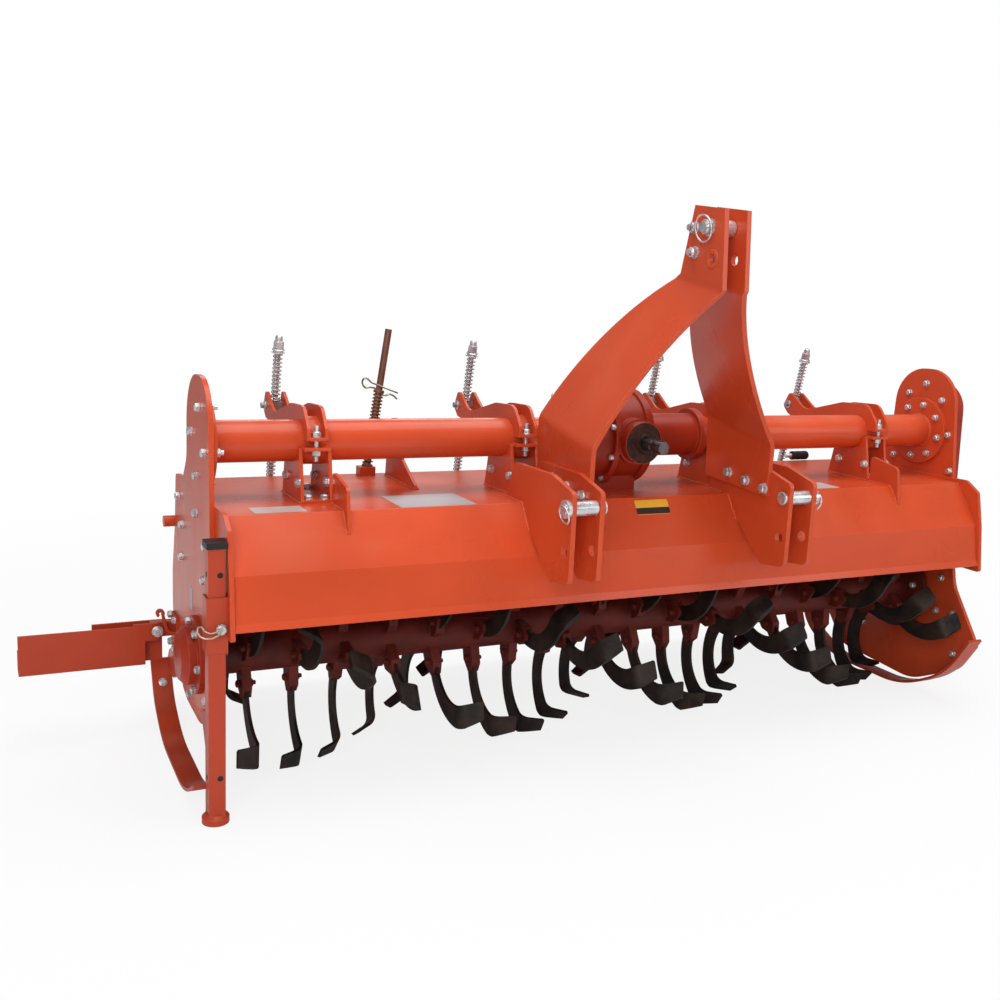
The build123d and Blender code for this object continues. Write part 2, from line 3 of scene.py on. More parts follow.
import bmesh
import bpy
from mathutils import Matrix, Vector
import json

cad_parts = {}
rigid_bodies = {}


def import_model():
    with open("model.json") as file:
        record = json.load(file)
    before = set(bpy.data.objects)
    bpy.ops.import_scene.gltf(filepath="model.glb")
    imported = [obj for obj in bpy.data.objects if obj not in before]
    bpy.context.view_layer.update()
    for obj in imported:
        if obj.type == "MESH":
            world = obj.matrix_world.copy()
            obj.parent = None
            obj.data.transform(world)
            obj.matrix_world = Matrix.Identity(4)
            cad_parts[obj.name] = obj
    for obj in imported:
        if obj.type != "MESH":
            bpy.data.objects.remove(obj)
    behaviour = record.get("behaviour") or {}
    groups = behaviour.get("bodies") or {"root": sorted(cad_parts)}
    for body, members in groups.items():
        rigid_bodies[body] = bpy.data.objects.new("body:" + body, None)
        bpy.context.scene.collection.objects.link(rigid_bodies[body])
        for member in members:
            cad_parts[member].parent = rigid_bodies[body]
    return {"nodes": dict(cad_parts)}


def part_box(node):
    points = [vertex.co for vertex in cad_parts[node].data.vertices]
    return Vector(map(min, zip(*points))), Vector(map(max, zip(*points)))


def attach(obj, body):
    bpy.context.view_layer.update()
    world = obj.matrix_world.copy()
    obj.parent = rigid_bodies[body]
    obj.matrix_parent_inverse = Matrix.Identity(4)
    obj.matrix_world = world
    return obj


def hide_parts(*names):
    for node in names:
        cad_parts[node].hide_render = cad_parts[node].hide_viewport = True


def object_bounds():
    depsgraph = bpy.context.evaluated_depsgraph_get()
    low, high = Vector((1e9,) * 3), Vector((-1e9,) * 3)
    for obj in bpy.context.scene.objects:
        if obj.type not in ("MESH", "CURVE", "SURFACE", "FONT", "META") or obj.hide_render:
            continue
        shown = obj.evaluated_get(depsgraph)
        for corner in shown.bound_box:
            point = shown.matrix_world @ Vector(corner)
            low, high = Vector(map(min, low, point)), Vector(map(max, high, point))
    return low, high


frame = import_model()
cad_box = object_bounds()

# ------------------------ hood sheet and side plates
# The folded deck, its two end plates and the tall side plates are cut and bent from steel
# sheet, welded together and painted in one coat of glossy orange-red enamel.
# Rounded cut edges carry a painted highlight in a lighter colour, and dust settles on what faces
# up.
plate_left, plate_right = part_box("side_plate_left"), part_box("side_plate_right")
tube_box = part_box("tube_left")
tube_axis = Vector((
    (plate_left[0][0] + plate_right[1][0]) / 2,
    (tube_box[0][1] + tube_box[1][1]) / 2,
    (tube_box[0][2] + tube_box[1][2]) / 2,
))
MM = 0.001


def spot(x, y, z):
    """A place given in millimetres from the middle of the main tube."""
    return tube_axis + Vector((x, y, z)) * MM


class Shade:
    """A value that varies over a surface, so that a finish reads as plain sums."""

    def __init__(self, finish, socket):
        self.finish, self.socket = finish, socket

    def maths(self, operation, a, b):
        return self.finish.add("Math", {"operation": operation}, Value=a, Value_001=b)

    def __add__(self, other):
        return self.maths("ADD", self, other)

    def __radd__(self, other):
        return self.maths("ADD", other, self)

    def __rsub__(self, other):
        return self.maths("SUBTRACT", other, self)

    def __mul__(self, other):
        return self.maths("MULTIPLY", self, other)

    def __rmul__(self, other):
        return self.maths("MULTIPLY", other, self)

    def clamp(self, low, high):
        """0 below low, 1 above high and an even slope between them."""
        return self.finish.add("MapRange", {"clamp": True}, Value=self, From_Min=low,
                               From_Max=high)


def named_input(node, key):
    """The input that a keyword means, by its identifier or by its label."""
    return next(s for s in node.inputs
                if s.identifier == key or (s.enabled and s.name == key.replace("_", " ")))


class Finish:
    """A material under construction: every node comes from add()."""

    def __init__(self, name):
        self.material = bpy.data.materials.new(name)
        self.material.use_nodes = True
        self.tree = self.material.node_tree
        self.tree.nodes.clear()

    def add(self, kind, settings=(), give=None, **sockets):
        node = self.tree.nodes.new("ShaderNode" + kind)
        for key, value in dict(settings).items():
            setattr(node, key, value)
        for key, value in sockets.items():
            target = named_input(node, key)
            if isinstance(value, Shade):
                self.tree.links.new(value.socket, target)
            elif target.type == "RGBA":
                target.default_value = (*value, 1.0)
            else:
                target.default_value = value
        found = [s for s in node.outputs if s.enabled and (give in (None, s.name, s.identifier))]
        return Shade(self, found[0])

    def place(self):
        return self.add("TexCoord", give="Object")

    def noise(self, scale, detail=3.0, roughness=0.5, stretch=(1, 1, 1)):
        where = self.add("Mapping", Vector=self.place(), Scale=stretch)
        return self.add("TexNoise", Vector=where, Scale=scale, Detail=detail,
                        Roughness=roughness)

    def blend(self, amount, a, b):
        return self.add("Mix", {"data_type": "RGBA"}, give="Result_Color",
                        Factor_Float=amount, A_Color=a, B_Color=b)

    def rounded(self, radius):
        """The surface's direction with its hard edges rounded."""
        return self.add("Bevel", {"samples": 4}, Radius=radius)

    def edge(self, radius):
        """1 along hard edges, 0 on flat sheet."""
        rounded = self.rounded(radius)
        flat = self.add("NewGeometry", give="True Normal")
        along = self.add("VectorMath", {"operation": "DOT_PRODUCT"}, give="Value",
                         Vector=rounded, Vector_001=flat)
        return (1.0 - along).clamp(0.01, 0.16)

    def upward(self):
        """1 on what faces up, 0 on walls and undersides."""
        way = self.add("SeparateXYZ", give="Z", Vector=self.add("NewGeometry", give="Normal"))
        return way.clamp(0.35, 0.95)

    def relief(self, strength, distance, height, radius=None):
        """Fine relief, on hard edges that are rounded where a radius is given."""
        under = {"Normal": self.rounded(radius)} if radius else {}
        return self.add("Bump", give="Normal", Strength=strength, Distance=distance,
                        Height=height, **under)

    def surface(self, shader):
        output = self.tree.nodes.new("ShaderNodeOutputMaterial")
        self.tree.links.new(shader.socket, output.inputs["Surface"])
        return self.material

    def end(self, **sockets):
        return self.surface(self.add("BsdfPrincipled", give="BSDF", **sockets))


PAINT_EDGE = 0.0022


def enamel(name, colour, edge_highlight, rough, dust):
    """Sprayed gloss enamel: faint orange peel, painted highlight on edges, rubbed patches, dust.
    """
    paint = Finish(name)
    cloud = paint.noise(3.1, detail=4.0)
    speck = paint.noise(70.0, detail=2.0)
    peel = paint.noise(420.0, detail=1.0)
    rub = paint.noise(5.0, detail=2.0, stretch=(1, 1.8, 0.8))
    deep = tuple(c * 0.80 for c in colour)
    tone = paint.blend(cloud.clamp(0.30, 0.70), deep, colour)
    # Painted highlight: a lighter colour along hard edges, broken up by specks.
    tone = paint.blend(paint.edge(PAINT_EDGE) * (speck.clamp(0.30, 0.75) * 0.8), tone, edge_highlight)
    settled = paint.upward() * (rub.clamp(0.45, 0.75) * dust)
    tone = paint.blend(settled, tone, (0.60, 0.26, 0.17))
    dull = rough + 0.06 * rub.clamp(0.35, 0.72) + 0.25 * settled
    return paint.end(Base_Color=tone, Roughness=dull, IOR=1.36, Coat_Roughness=0.06,
                     Coat_Weight=0.08, Normal=paint.relief(0.08, 0.0006, peel, PAINT_EDGE))


ORANGE = (0.64, 0.074, 0.020)
orange = enamel("orange_enamel", ORANGE, (0.88, 0.26, 0.13), 0.27, 0.25)
# Painted shade: a darker copy of the same enamel, for the skids, the stand, the side arm and their
# plates.
orange_shaded = enamel("orange_enamel_shaded", (0.48, 0.050, 0.015), (0.72, 0.17, 0.08), 0.33, 0.20)


def dress(material, *nodes):
    """Gives CAD pieces their finish."""
    for node in nodes:
        for place in frame["nodes"][node].material_slots:
            place.material = material


dress(orange, "hood_deck", "hood_end_left", "hood_end_right", "side_plate_left",
      "side_plate_right", "hinge_rod")


def set_down(name, data):
    """Puts something new in the scene, on no body yet."""
    thing = bpy.data.objects.new(name, data)
    bpy.context.collection.objects.link(thing)
    return thing


def piece_of(name, mesh, body):
    """Puts a finished mesh on a body of the machine."""
    mesh.name = name
    piece = set_down(name, mesh)
    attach(piece, body)
    return piece


def solid(name, build, material, body):
    """Makes one piece from bmesh work, with its faces turned outwards."""
    shape = bmesh.new()
    build(shape)
    bmesh.ops.remove_doubles(shape, verts=shape.verts, dist=1e-6)
    bmesh.ops.recalc_face_normals(shape, faces=shape.faces)
    mesh = bpy.data.meshes.new(name)
    shape.to_mesh(mesh)
    shape.free()
    mesh.materials.append(material)
    return piece_of(name, mesh, body)


def skin(shape, rows, capped=True):
    """Joins rows of corners into a closed run of faces, with a face over each end."""
    for low, high in zip(rows, rows[1:]):
        for k in range(len(low)):
            n = (k + 1) % len(low)
            corners = list(dict.fromkeys([low[k], low[n], high[n], high[k]]))
            if len(corners) > 2:
                shape.faces.new(corners)
    if capped:
        shape.faces.new(rows[0])
        shape.faces.new(list(reversed(rows[-1])))


# ------------------------ bolts, nuts and washers
# Zinc-plated hexagon bolts hold flanges, skids and end plates to the side plates.
# Each is a forged head with a chamfered crown on a round washer, turned at random.
def zinc_finish(name, colour, rough):
    plating = Finish(name)
    cloud = plating.noise(38.0, detail=4.0, roughness=0.6)
    fine = plating.noise(900.0, detail=1.0)
    dull = tuple(c * 0.66 for c in colour)
    tone = plating.blend(cloud.clamp(0.35, 0.70), dull, colour)
    return plating.end(Base_Color=tone, Metallic=0.75,
                       Roughness=rough + 0.25 * cloud.clamp(0.4, 0.7),
                       Normal=plating.relief(0.15, 0.0003, fine, 0.0008))


zinc = zinc_finish("zinc_plate", (0.80, 0.80, 0.82), 0.22)


class Wiring:
    """A geometry node tree under construction, with named inputs."""

    def __init__(self, name, inputs):
        self.tree = bpy.data.node_groups.new(name, "GeometryNodeTree")
        face = self.tree.interface
        face.new_socket("Geometry", in_out="INPUT", socket_type="NodeSocketGeometry")
        self.ids = {}
        for label, kind in inputs:
            item = face.new_socket(label, in_out="INPUT", socket_type="NodeSocket" + kind)
            self.ids[label] = item.identifier
        face.new_socket("Geometry", in_out="OUTPUT", socket_type="NodeSocketGeometry")
        self.source = self.tree.nodes.new("NodeGroupInput")

    def given(self, label):
        return self.source.outputs[label]

    def add(self, kind, settings=(), give=0, **sockets):
        node = self.tree.nodes.new(kind)
        for key, value in dict(settings).items():
            setattr(node, key, value)
        for key, value in sockets.items():
            target = named_input(node, key)
            for item in value if isinstance(value, list) else [value]:
                if isinstance(item, bpy.types.NodeSocket):
                    self.tree.links.new(item, target)
                else:
                    target.default_value = item
        return node.outputs[give]

    def sum(self, operation, a, b=0.0):
        return self.add("ShaderNodeMath", {"operation": operation}, Value=a, Value_001=b)

    def at_points(self, one, **turned):
        """Ends with a copy of a shape at every point, along the point's own direction."""
        facing = self.add("GeometryNodeInputNamedAttribute", {"data_type": "FLOAT_VECTOR"},
                          Name="facing")
        aimed = self.add("FunctionNodeAlignRotationToVector", {"axis": "Z"}, Vector=facing,
                         **turned)
        self.end(self.add("GeometryNodeInstanceOnPoints", Points=self.given("Geometry"),
                          Instance=one, Rotation=aimed))

    def end(self, shape):
        shape = self.add("GeometryNodeRealizeInstances", Geometry=shape)
        shape = self.add("GeometryNodeSetMaterial", Geometry=shape,
                         Material=self.given("Finish"))
        output = self.tree.nodes.new("NodeGroupOutput")
        self.tree.links.new(shape, output.inputs[0])


def bolt_tree():
    """Hexagon head, crown, washer and shank end at every point, facing its own way."""
    bolt = Wiring("hexagon_bolts", (
        ("Across flats", "Float"), ("Head height", "Float"), ("Washer radius", "Float"),
        ("Washer thickness", "Float"), ("Shank out", "Float"), ("Turn seed", "Int"),
        ("Finish", "Material")))
    flats, head = bolt.given("Across flats"), bolt.given("Head height")
    thick = bolt.given("Washer thickness")
    corner = bolt.sum("MULTIPLY", flats, 1 / math.sqrt(3))
    body_share, crown_share = 0.82, 0.18

    def stacked(shape, base):
        lift = bolt.add("ShaderNodeCombineXYZ", Z=base)
        return bolt.add("GeometryNodeTransform", Geometry=shape, Translation=lift)

    washer = bolt.add("GeometryNodeMeshCylinder", Vertices=18, Radius=bolt.given("Washer radius"),
                      Depth=thick)
    body = bolt.add("GeometryNodeMeshCylinder", Vertices=6, Radius=corner,
                    Depth=bolt.sum("MULTIPLY", head, body_share))
    crown = bolt.add("GeometryNodeMeshCone", Vertices=12, Radius_Top=bolt.sum(
        "MULTIPLY", flats, 0.40), Radius_Bottom=bolt.sum("MULTIPLY", flats, 0.495),
        Depth=bolt.sum("MULTIPLY", head, crown_share))
    reach = bolt.sum("ADD", bolt.given("Shank out"), bolt.sum("MULTIPLY", flats, 0.04))
    shank = bolt.add("GeometryNodeMeshCylinder", Vertices=12, Radius=bolt.sum(
        "MULTIPLY", flats, 0.32), Depth=reach)
    top = bolt.sum("ADD", thick, head)
    parts = [
        stacked(washer, bolt.sum("MULTIPLY", thick, 0.5)),
        stacked(body, bolt.sum("ADD", thick, bolt.sum("MULTIPLY", head, body_share / 2))),
        stacked(crown, bolt.sum("ADD", thick, bolt.sum("MULTIPLY", head, body_share))),
        stacked(shank, bolt.sum("ADD", top, bolt.sum("MULTIPLY", reach, 0.5))),
    ]
    one = bolt.add("GeometryNodeJoinGeometry", Geometry=parts)
    spin = bolt.add("FunctionNodeRandomValue", {"data_type": "FLOAT"}, give="Value",
                    Min_001=0.0, Max_001=math.pi, Seed=bolt.given("Turn seed"))
    turned = bolt.add("FunctionNodeEulerToRotation",
                      Euler=bolt.add("ShaderNodeCombineXYZ", Z=spin))
    bolt.at_points(one, Rotation=turned)
    return bolt


bolts = bolt_tree()


def grown(name, wiring, places, body, slot, lines=(), **inputs):
    """Runs a node tree on points that each face their own way; leaves a plain mesh."""
    seed = bpy.data.meshes.new(name + "_points")
    seed.from_pydata([p for p, facing in places], list(lines), [])
    way = seed.attributes.new("facing", "FLOAT_VECTOR", "POINT")
    for item, (p, facing) in zip(way.data, places):
        item.vector = facing
    holder = set_down(name + "_points", seed)
    step = holder.modifiers.new("tree", "NODES")
    step.node_group = wiring.tree
    for label, value in inputs.items():
        step[wiring.ids[label.replace("_", " ")]] = value
    holder.update_tag()
    bpy.context.view_layer.update()
    ready = holder.evaluated_get(bpy.context.evaluated_depsgraph_get())
    mesh = bpy.data.meshes.new_from_object(ready)
    bpy.data.objects.remove(holder)
    return piece_of(name, mesh, body)


def bolted(name, places, facing, body="frame", across=19.0, head=9.0, shank=0.0, seed=1):
    """Bolt heads or nuts, sizes in millimetres, all facing one way."""
    return grown(
        name, bolts, [(spot(*p), Vector(facing)) for p in places], body, "zinc",
        Across_flats=across * MM, Head_height=head * MM, Washer_radius=across * 0.62 * MM,
        Washer_thickness=2.2 * MM, Shank_out=shank * MM, Turn_seed=seed, Finish=zinc)


LEFT, RIGHT, DOWN, UP = (-1, 0, 0), (1, 0, 0), (0, 0, -1), (0, 0, 1)
FRONT, BACK = (0, -1, 0), (0, 1, 0)
OUTSIDE, INSIDE, HOOD_END = 1160.0, 1148.0, 1138.0
FLANGE_THICK = 12.0


def on_circle(radius, angles):
    """(y, z) places round a centre, at angles in radians from straight up."""
    return [(radius * math.sin(a), radius * math.cos(a)) for a in angles]


FLANGE_BOLTS = on_circle(84, [math.radians(a) for a in range(-10, 306, 45)])
PLATE_BOLTS = [(210, -242), (-94, -231), (219, -328), (-74, -317), (113, -664), (-97, -607),
               (262, -178), (20, -175)]
bolted("flange_bolts_left", [(-OUTSIDE, y, z) for y, z in FLANGE_BOLTS[::2]], LEFT, seed=3)
bolted("flange_nuts_left", [(-INSIDE + FLANGE_THICK, y, z) for y, z in FLANGE_BOLTS[::2]],
       RIGHT, shank=6, seed=4)
bolted("plate_bolts_left", [(-OUTSIDE, y, z) for y, z in PLATE_BOLTS], LEFT, seed=5)
bolted("plate_nuts_left", [(-HOOD_END, y, z) for y, z in PLATE_BOLTS[:4] + PLATE_BOLTS[6:]],
       RIGHT, shank=6, seed=6)
CASE_BOLTS = [(-6, 152), (61, 117), (-76, 104), (-114, -2), (100, -94), (-137, -113)]
bolted("case_bolts_inside", [(INSIDE, y, z) for y, z in CASE_BOLTS], LEFT, across=17, seed=7)
bolted("flange_bolts_right", [(INSIDE - FLANGE_THICK, y, z) for y, z in FLANGE_BOLTS], LEFT,
       across=17, seed=8)
LOW_BOLTS = [(-157, -456), (-218, -558), (-150, -565), (-101, -649), (-237, -685),
             (150, -690), (235, -600), (235, -480)]
bolted("low_bolts_right", [(INSIDE, y, z) for y, z in LOW_BOLTS], LEFT, across=17, seed=9)

# ------------------------ main tube, gearbox and trumpet
# A thick drawn tube carries the machine. Cast-iron gearbox halves are bolted together
# round the bevel gears; a trumpet casting takes the drive to the right-hand case.
def casting(name, colour):
    """Sand-cast skin under paint: coarse grain, soft hollows, oily dirt in random patches, painted
    edge highlight.
    """
    crust = Finish(name)
    cloud = crust.noise(5.0, detail=4.0)
    grain = crust.noise(260.0, detail=3.0, roughness=0.7)
    tone = crust.blend(cloud.clamp(0.35, 0.7), tuple(c * 0.62 for c in colour), colour)
    # Painted highlight: a lighter red along hard edges.
    tone = crust.blend(crust.edge(0.003) * 0.6, tone, (0.74, 0.15, 0.07))
    return crust.end(Base_Color=tone, Roughness=0.32 + 0.16 * grain, IOR=1.36,
                     Normal=crust.relief(0.35, 0.0008, grain, 0.003))


cast = casting("painted_casting", (0.42, 0.032, 0.010))
dress(orange, "tube_left", "tube_right")
dress(cast, "gearbox_housing", "gearbox_cover", "gearbox_trumpet", "bearing_housing",
      "gear_case")

HITCH_X = -28.0
DRUM_LEFT, DRUM_RIGHT, DRUM_R, JOINT = -153.0, 34.0, 125.0, -96.0


def lathe(shape, origin, axis, profile, sides=32):
    """Turns a profile of (radius, distance along the axis) pairs in millimetres.

    A profile that starts and ends off the axis is closed by a bore between its ends.
    """
    origin, axis = Vector(origin), Vector(axis).normalized()
    aside = axis.orthogonal().normalized()
    other = axis.cross(aside)
    rings = []
    for radius, along in profile:
        centre = origin + axis * along
        if radius <= 0.0:
            rings.append([shape.verts.new(spot(*centre))] * sides)
            continue
        rings.append([
            shape.verts.new(spot(*(centre + (aside * math.cos(a) + other * math.sin(a)) * radius)))
            for a in (math.tau * k / sides for k in range(sides))])
    if profile[0][0] > 0.0 and profile[-1][0] > 0.0:
        rings.append(rings[0])
    skin(shape, rings, capped=False)


def casting_rims(shape):
    """Flanges where the gearbox halves and the trumpet are bolted together."""
    inner = DRUM_R - 6
    lathe(shape, (JOINT, 0, 0), RIGHT, [
        (inner, 0), (139, 0), (141, 2), (141, 14), (138, 17), (inner, 21)], 64)
    lathe(shape, (DRUM_RIGHT - 24, 0, 0), RIGHT, [
        (inner, -4), (130, 0), (132, 2), (132, 20), (130, 22), (80, 22)], 64)


solid("casting_rims", casting_rims, cast, "frame")
around = [math.radians(a) for a in range(-73, 287, 36)]
for name, x, radius, way in (("joint_bolts", JOINT, 131, LEFT),
                             ("end_bolts", DRUM_RIGHT - 2, 112, RIGHT),
                             ("cover_bolts", DRUM_LEFT - 20, 124, LEFT)):
    bolted(name, [(x, y, z) for y, z in on_circle(radius, around)], way, across=14, head=8,
           seed=11)
FILLER, BREATHER = (18, -6, DRUM_R - 1), (HITCH_X - 20, 20, 138)
bolted("filler_plug", [FILLER, BREATHER], UP, across=24, head=10, seed=14)


def greased():
    """Black grease and dust round the turning shaft."""
    film = Finish("greasy_seal")
    blot = film.noise(60.0, detail=5.0, roughness=0.7)
    tone = film.blend(blot.clamp(0.40, 0.66), (0.012, 0.008, 0.007), (0.075, 0.020, 0.011))
    return film.end(Base_Color=tone, Roughness=0.42 + 0.35 * blot, IOR=1.33,
                    Normal=film.relief(0.5, 0.001, blot))


grease = greased()
SEAL = [(18.5, -14), (24, -14), (27, -9), (30, -4), (40, -3), (43, -4), (47, -4), (50, -1.5),
        (54, -0.6), (55.4, 1), (18.5, 1)]
SEAL_Y = -168.0
solid("shaft_seal", lambda s: lathe(s, (HITCH_X, SEAL_Y, 0), BACK, SEAL, 48), grease, "frame")


def steel(name, colour, rough, streak):
    """Bare or oiled steel with turning marks."""
    metal = Finish(name)
    line = metal.noise(1.0, detail=3.0, stretch=streak)
    blot = metal.noise(45.0, detail=4.0)
    tone = metal.blend(blot.clamp(0.35, 0.7), tuple(c * 0.5 for c in colour), colour)
    return metal.end(Base_Color=tone, Metallic=0.85, Roughness=rough + 0.2 * blot,
                     Normal=metal.relief(0.2, 0.0003, line))


shaft_steel = steel("oiled_shaft_steel", (0.20, 0.185, 0.175), 0.30, (60, 900, 60))
SHAFT_BACK, SHAFT_TIP, SPLINES = -66.0, -262.0, 6
SHAFT_R, ROOT_R = 17.5, 14.8


def splined_shaft(shape):
    """Six straight-sided splines, a ball groove and a chamfered tip."""
    stations = [(SHAFT_BACK, 1.0, 0), (-160, 1.0, 0), (-162, 1.0, 1), (-216, 1.0, 1),
                (-219, 0.86, 1), (-223, 0.86, 1), (-226, 1.0, 1), (-258, 1.0, 1),
                (SHAFT_TIP, 0.93, 1)]
    rings = []
    for y, scale, cut in stations:
        ring = []
        for k in range(SPLINES * 8):
            phase = k % 8
            radius = SHAFT_R if phase < 5 or not cut else ROOT_R
            angle = math.tau * (k // 8 + phase / 8.0) / SPLINES
            if cut and phase in (5, 7):
                angle += (-0.06 if phase == 5 else 0.06)
            radius = min(radius, SHAFT_R * scale)
            ring.append(shape.verts.new(spot(
                HITCH_X + radius * math.cos(angle), y, radius * math.sin(angle))))
        rings.append(ring)
    skin(shape, rings)


shaft = solid("drive_shaft", splined_shaft, shaft_steel, "input_shaft")
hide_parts("input_shaft")


def bead_tree():
    """A rippled weld bead, or a plain wire, along every run of edges."""
    bead = Wiring("weld_beads", (
        ("Bead radius", "Float"), ("Ripple", "Float"), ("Step", "Float"),
        ("Sides", "Int"), ("Finish", "Material")))
    line = bead.add("GeometryNodeMeshToCurve", Mesh=bead.given("Geometry"))
    line = bead.add("GeometryNodeResampleCurve", {"mode": "LENGTH"}, Curve=line,
                    Length=bead.given("Step"))
    count = bead.add("GeometryNodeInputIndex")
    wave = bead.sum("SINE", bead.sum("MULTIPLY", count, 2.1))
    swell = bead.sum("MULTIPLY", bead.given("Bead radius"),
                     bead.sum("ADD", 1.0, bead.sum("MULTIPLY", wave, bead.given("Ripple"))))
    ring = bead.add("GeometryNodeCurvePrimitiveCircle", {"mode": "RADIUS"},
                    Resolution=bead.given("Sides"), Radius=1.0)
    bead.end(bead.add("GeometryNodeCurveToMesh", Curve=line, Profile_Curve=ring,
                      Scale=swell, Fill_Caps=True))
    return bead


beads = bead_tree()


def welded(name, runs, body, material, slot="orange_paint", radius=3.2, ripple=0.16, step=4.2,
           sides=6):
    """Beads along runs of places in millimetres."""
    places, lines = [], []
    for run in runs:
        first = len(places)
        places += [(spot(*p), Vector(UP)) for p in run]
        lines += [(first + k, first + k + 1) for k in range(len(run) - 1)]
    return grown(name, beads, places, body, slot, lines, Bead_radius=radius * MM,
                 Ripple=ripple, Step=step * MM, Sides=sides, Finish=material)


TUBE_R, TUBE_END = 52, INSIDE - FLANGE_THICK - 1
round_tube = on_circle(TUBE_R, [math.tau * k / 40 for k in range(41)])
welded("tube_welds", [[(x, y, z) for y, z in round_tube] for x in (-TUBE_END, TUBE_END)],
       "frame", orange)

# ------------------------ lower hitch and mast
# Paired plates of 12 mm steel are welded to the hood; two bent arms are bolted between
# them and carry the top link. Plated pins with wire rings hold the tractor's links.
dress(orange, "hitch_bracket_left", "hitch_bracket_right", "mast_arm_left", "mast_arm_right",
      "deck_gussets")
dress(zinc, "lower_pin_left", "lower_pin_right", "upper_pin", "mast_spacers")
HITCH_HALF, HITCH_GAP, PLATE = 320.0, 32.0, 12.0
LOWER_PIN, UPPER_PIN = (-420.0, -113.0), (-440.0, 548.0)
EAR_OUT = 38.0
FOOT_BOLTS = [(-198, -80), (-274, -89), (-351, -98)]
near, far = HITCH_HALF - HITCH_GAP, HITCH_HALF + HITCH_GAP
foot = near - 2 * PLATE
for name, side, inward, outward, seed in (("left", -1, RIGHT, LEFT, 21),
                                          ("right", 1, LEFT, RIGHT, 23)):
    bolted("mast_foot_bolts_" + name, [(HITCH_X + side * foot, y, z) for y, z in FOOT_BOLTS],
           inward, across=24, head=11, seed=seed)
    bolted("mast_foot_nuts_" + name, [(HITCH_X + side * near, y, z) for y, z in FOOT_BOLTS],
           outward, across=24, head=12, shank=5, seed=seed + 1)
EAR_BOLTS = [(-382, 549), (-388, 491)]
bolted("ear_bolts_left", [(HITCH_X - EAR_OUT, y, z) for y, z in EAR_BOLTS], LEFT,
       across=24, head=12, shank=6, seed=25)
bolted("ear_bolts_right", [(HITCH_X + EAR_OUT, y, z) for y, z in EAR_BOLTS], RIGHT,
       across=24, head=11, seed=26)


def wire_ring(name, centre, along, radius):
    """A spring-wire ring that hangs in the plane of the Y axis and one more direction."""
    across, along = Vector(BACK), Vector(along).normalized()
    run = [tuple(Vector(centre) + (across * math.cos(a) + along * math.sin(a)) * radius)
           for a in (math.tau * k / 36 for k in range(37))]
    welded(name, [run], "frame", zinc, "zinc", radius=2.2, ripple=0.0, step=5, sides=8)


def hairpin(name, eye, along, aside, length, thick=2.0, material=zinc, slot="zinc"):
    """A spring clip: one straight leg through the hole, one waved leg over the pin."""
    along, aside = Vector(along).normalized(), Vector(aside).normalized()
    loop_r, loop_drop = 0.16, 0.05
    path = [(1.0, 0.02), (0.5, 0.02), (0.12, 0.03)]
    for degrees in range(80, -81, -20):
        a = math.radians(degrees)
        path.append((-loop_r * math.cos(a), loop_r * math.sin(a) - loop_drop))
    path += [(0.12, -0.13), (0.26, -0.10), (0.40, -0.20), (0.52, -0.24), (0.64, -0.20),
             (0.76, -0.11), (0.88, -0.12), (1.0, -0.18)]
    run = [tuple(Vector(eye) + along * (a * length) + aside * (b * length)) for a, b in path]
    welded(name, [run], "frame", material, slot, radius=thick, ripple=0.0, step=3, sides=8)


PIN_HEAD = [(0, 0), (14, 0), (17.5, 2), (17.5, 5), (15, 7), (6, 7.6), (0, 7.6)]


def pin_heads(shape):
    """Domed heads inside the lower clevises, and the collar on the top pin's left end."""
    for side in (-1, 1):
        x = HITCH_X + side * (near - PLATE - 4)
        lathe(shape, (x, *LOWER_PIN), (-side, 0, 0), PIN_HEAD, sides=24)
    lathe(shape, (HITCH_X - EAR_OUT, *UPPER_PIN), LEFT,
          [(12.8, 0), (21, 0), (21, 4), (18, 5), (17.5, 16), (15.5, 18), (12.8, 18)], sides=24)


solid("pin_heads", pin_heads, zinc, "frame")


def pin_bushes(shape):
    """Bright bushes on the pins between the plates, with a step at each end."""
    for x0, x1, y, z, r in (
            (HITCH_X - 25.4, HITCH_X + 25.4, *UPPER_PIN, 19.0),
            (HITCH_X - far + 0.5, HITCH_X - near - 0.5, *LOWER_PIN, 18.0),
            (HITCH_X + near + 0.5, HITCH_X + far - 0.5, *LOWER_PIN, 18.0)):
        long = x1 - x0
        lathe(shape, (x0, y, z), RIGHT, [
            (r - 2, 0), (r, 1.2), (r, long - 1.2), (r - 2, long)], sides=32)


solid("pin_bushes", pin_bushes, zinc, "frame")
for side, name in ((-1, "left"), (1, "right")):
    x = HITCH_X + side * (far + PLATE + 12)
    wire_ring("pull_ring_" + name, (x, LOWER_PIN[0] - 4, LOWER_PIN[1] - 12),
              (side * 0.25, 0, 1), 22)
wire_ring("pull_ring_top", (HITCH_X - EAR_OUT - 19, UPPER_PIN[0], UPPER_PIN[1] - 4),
          (-0.15, 0, 1), 31)
SPARE_HOLE = (-458, 475)
solid("ear_boss", lambda s: lathe(s, (HITCH_X - EAR_OUT, *SPARE_HOLE), LEFT, [
    (13.5, 0), (13.5, 3), (21, 3), (22.5, 1.5), (23, 0)], 32), orange, "frame")
hairpin("clip_top", (HITCH_X + EAR_OUT + 11, UPPER_PIN[0] - 14, UPPER_PIN[1] + 12), (0, 0.5, -1),
        RIGHT, 44)
WELD_LINE = [(-101, -141), (-186, -141.5), (-231, -206)]
welded("hitch_welds", [
    [(HITCH_X + side * reach, y - 1, z) for y, z in WELD_LINE]
    for side in (-1, 1)
    for reach in (near - PLATE - 1.5, near + 1.5, far - 1.5, far + PLATE + 1.5)
], "frame", orange, radius=3.0)

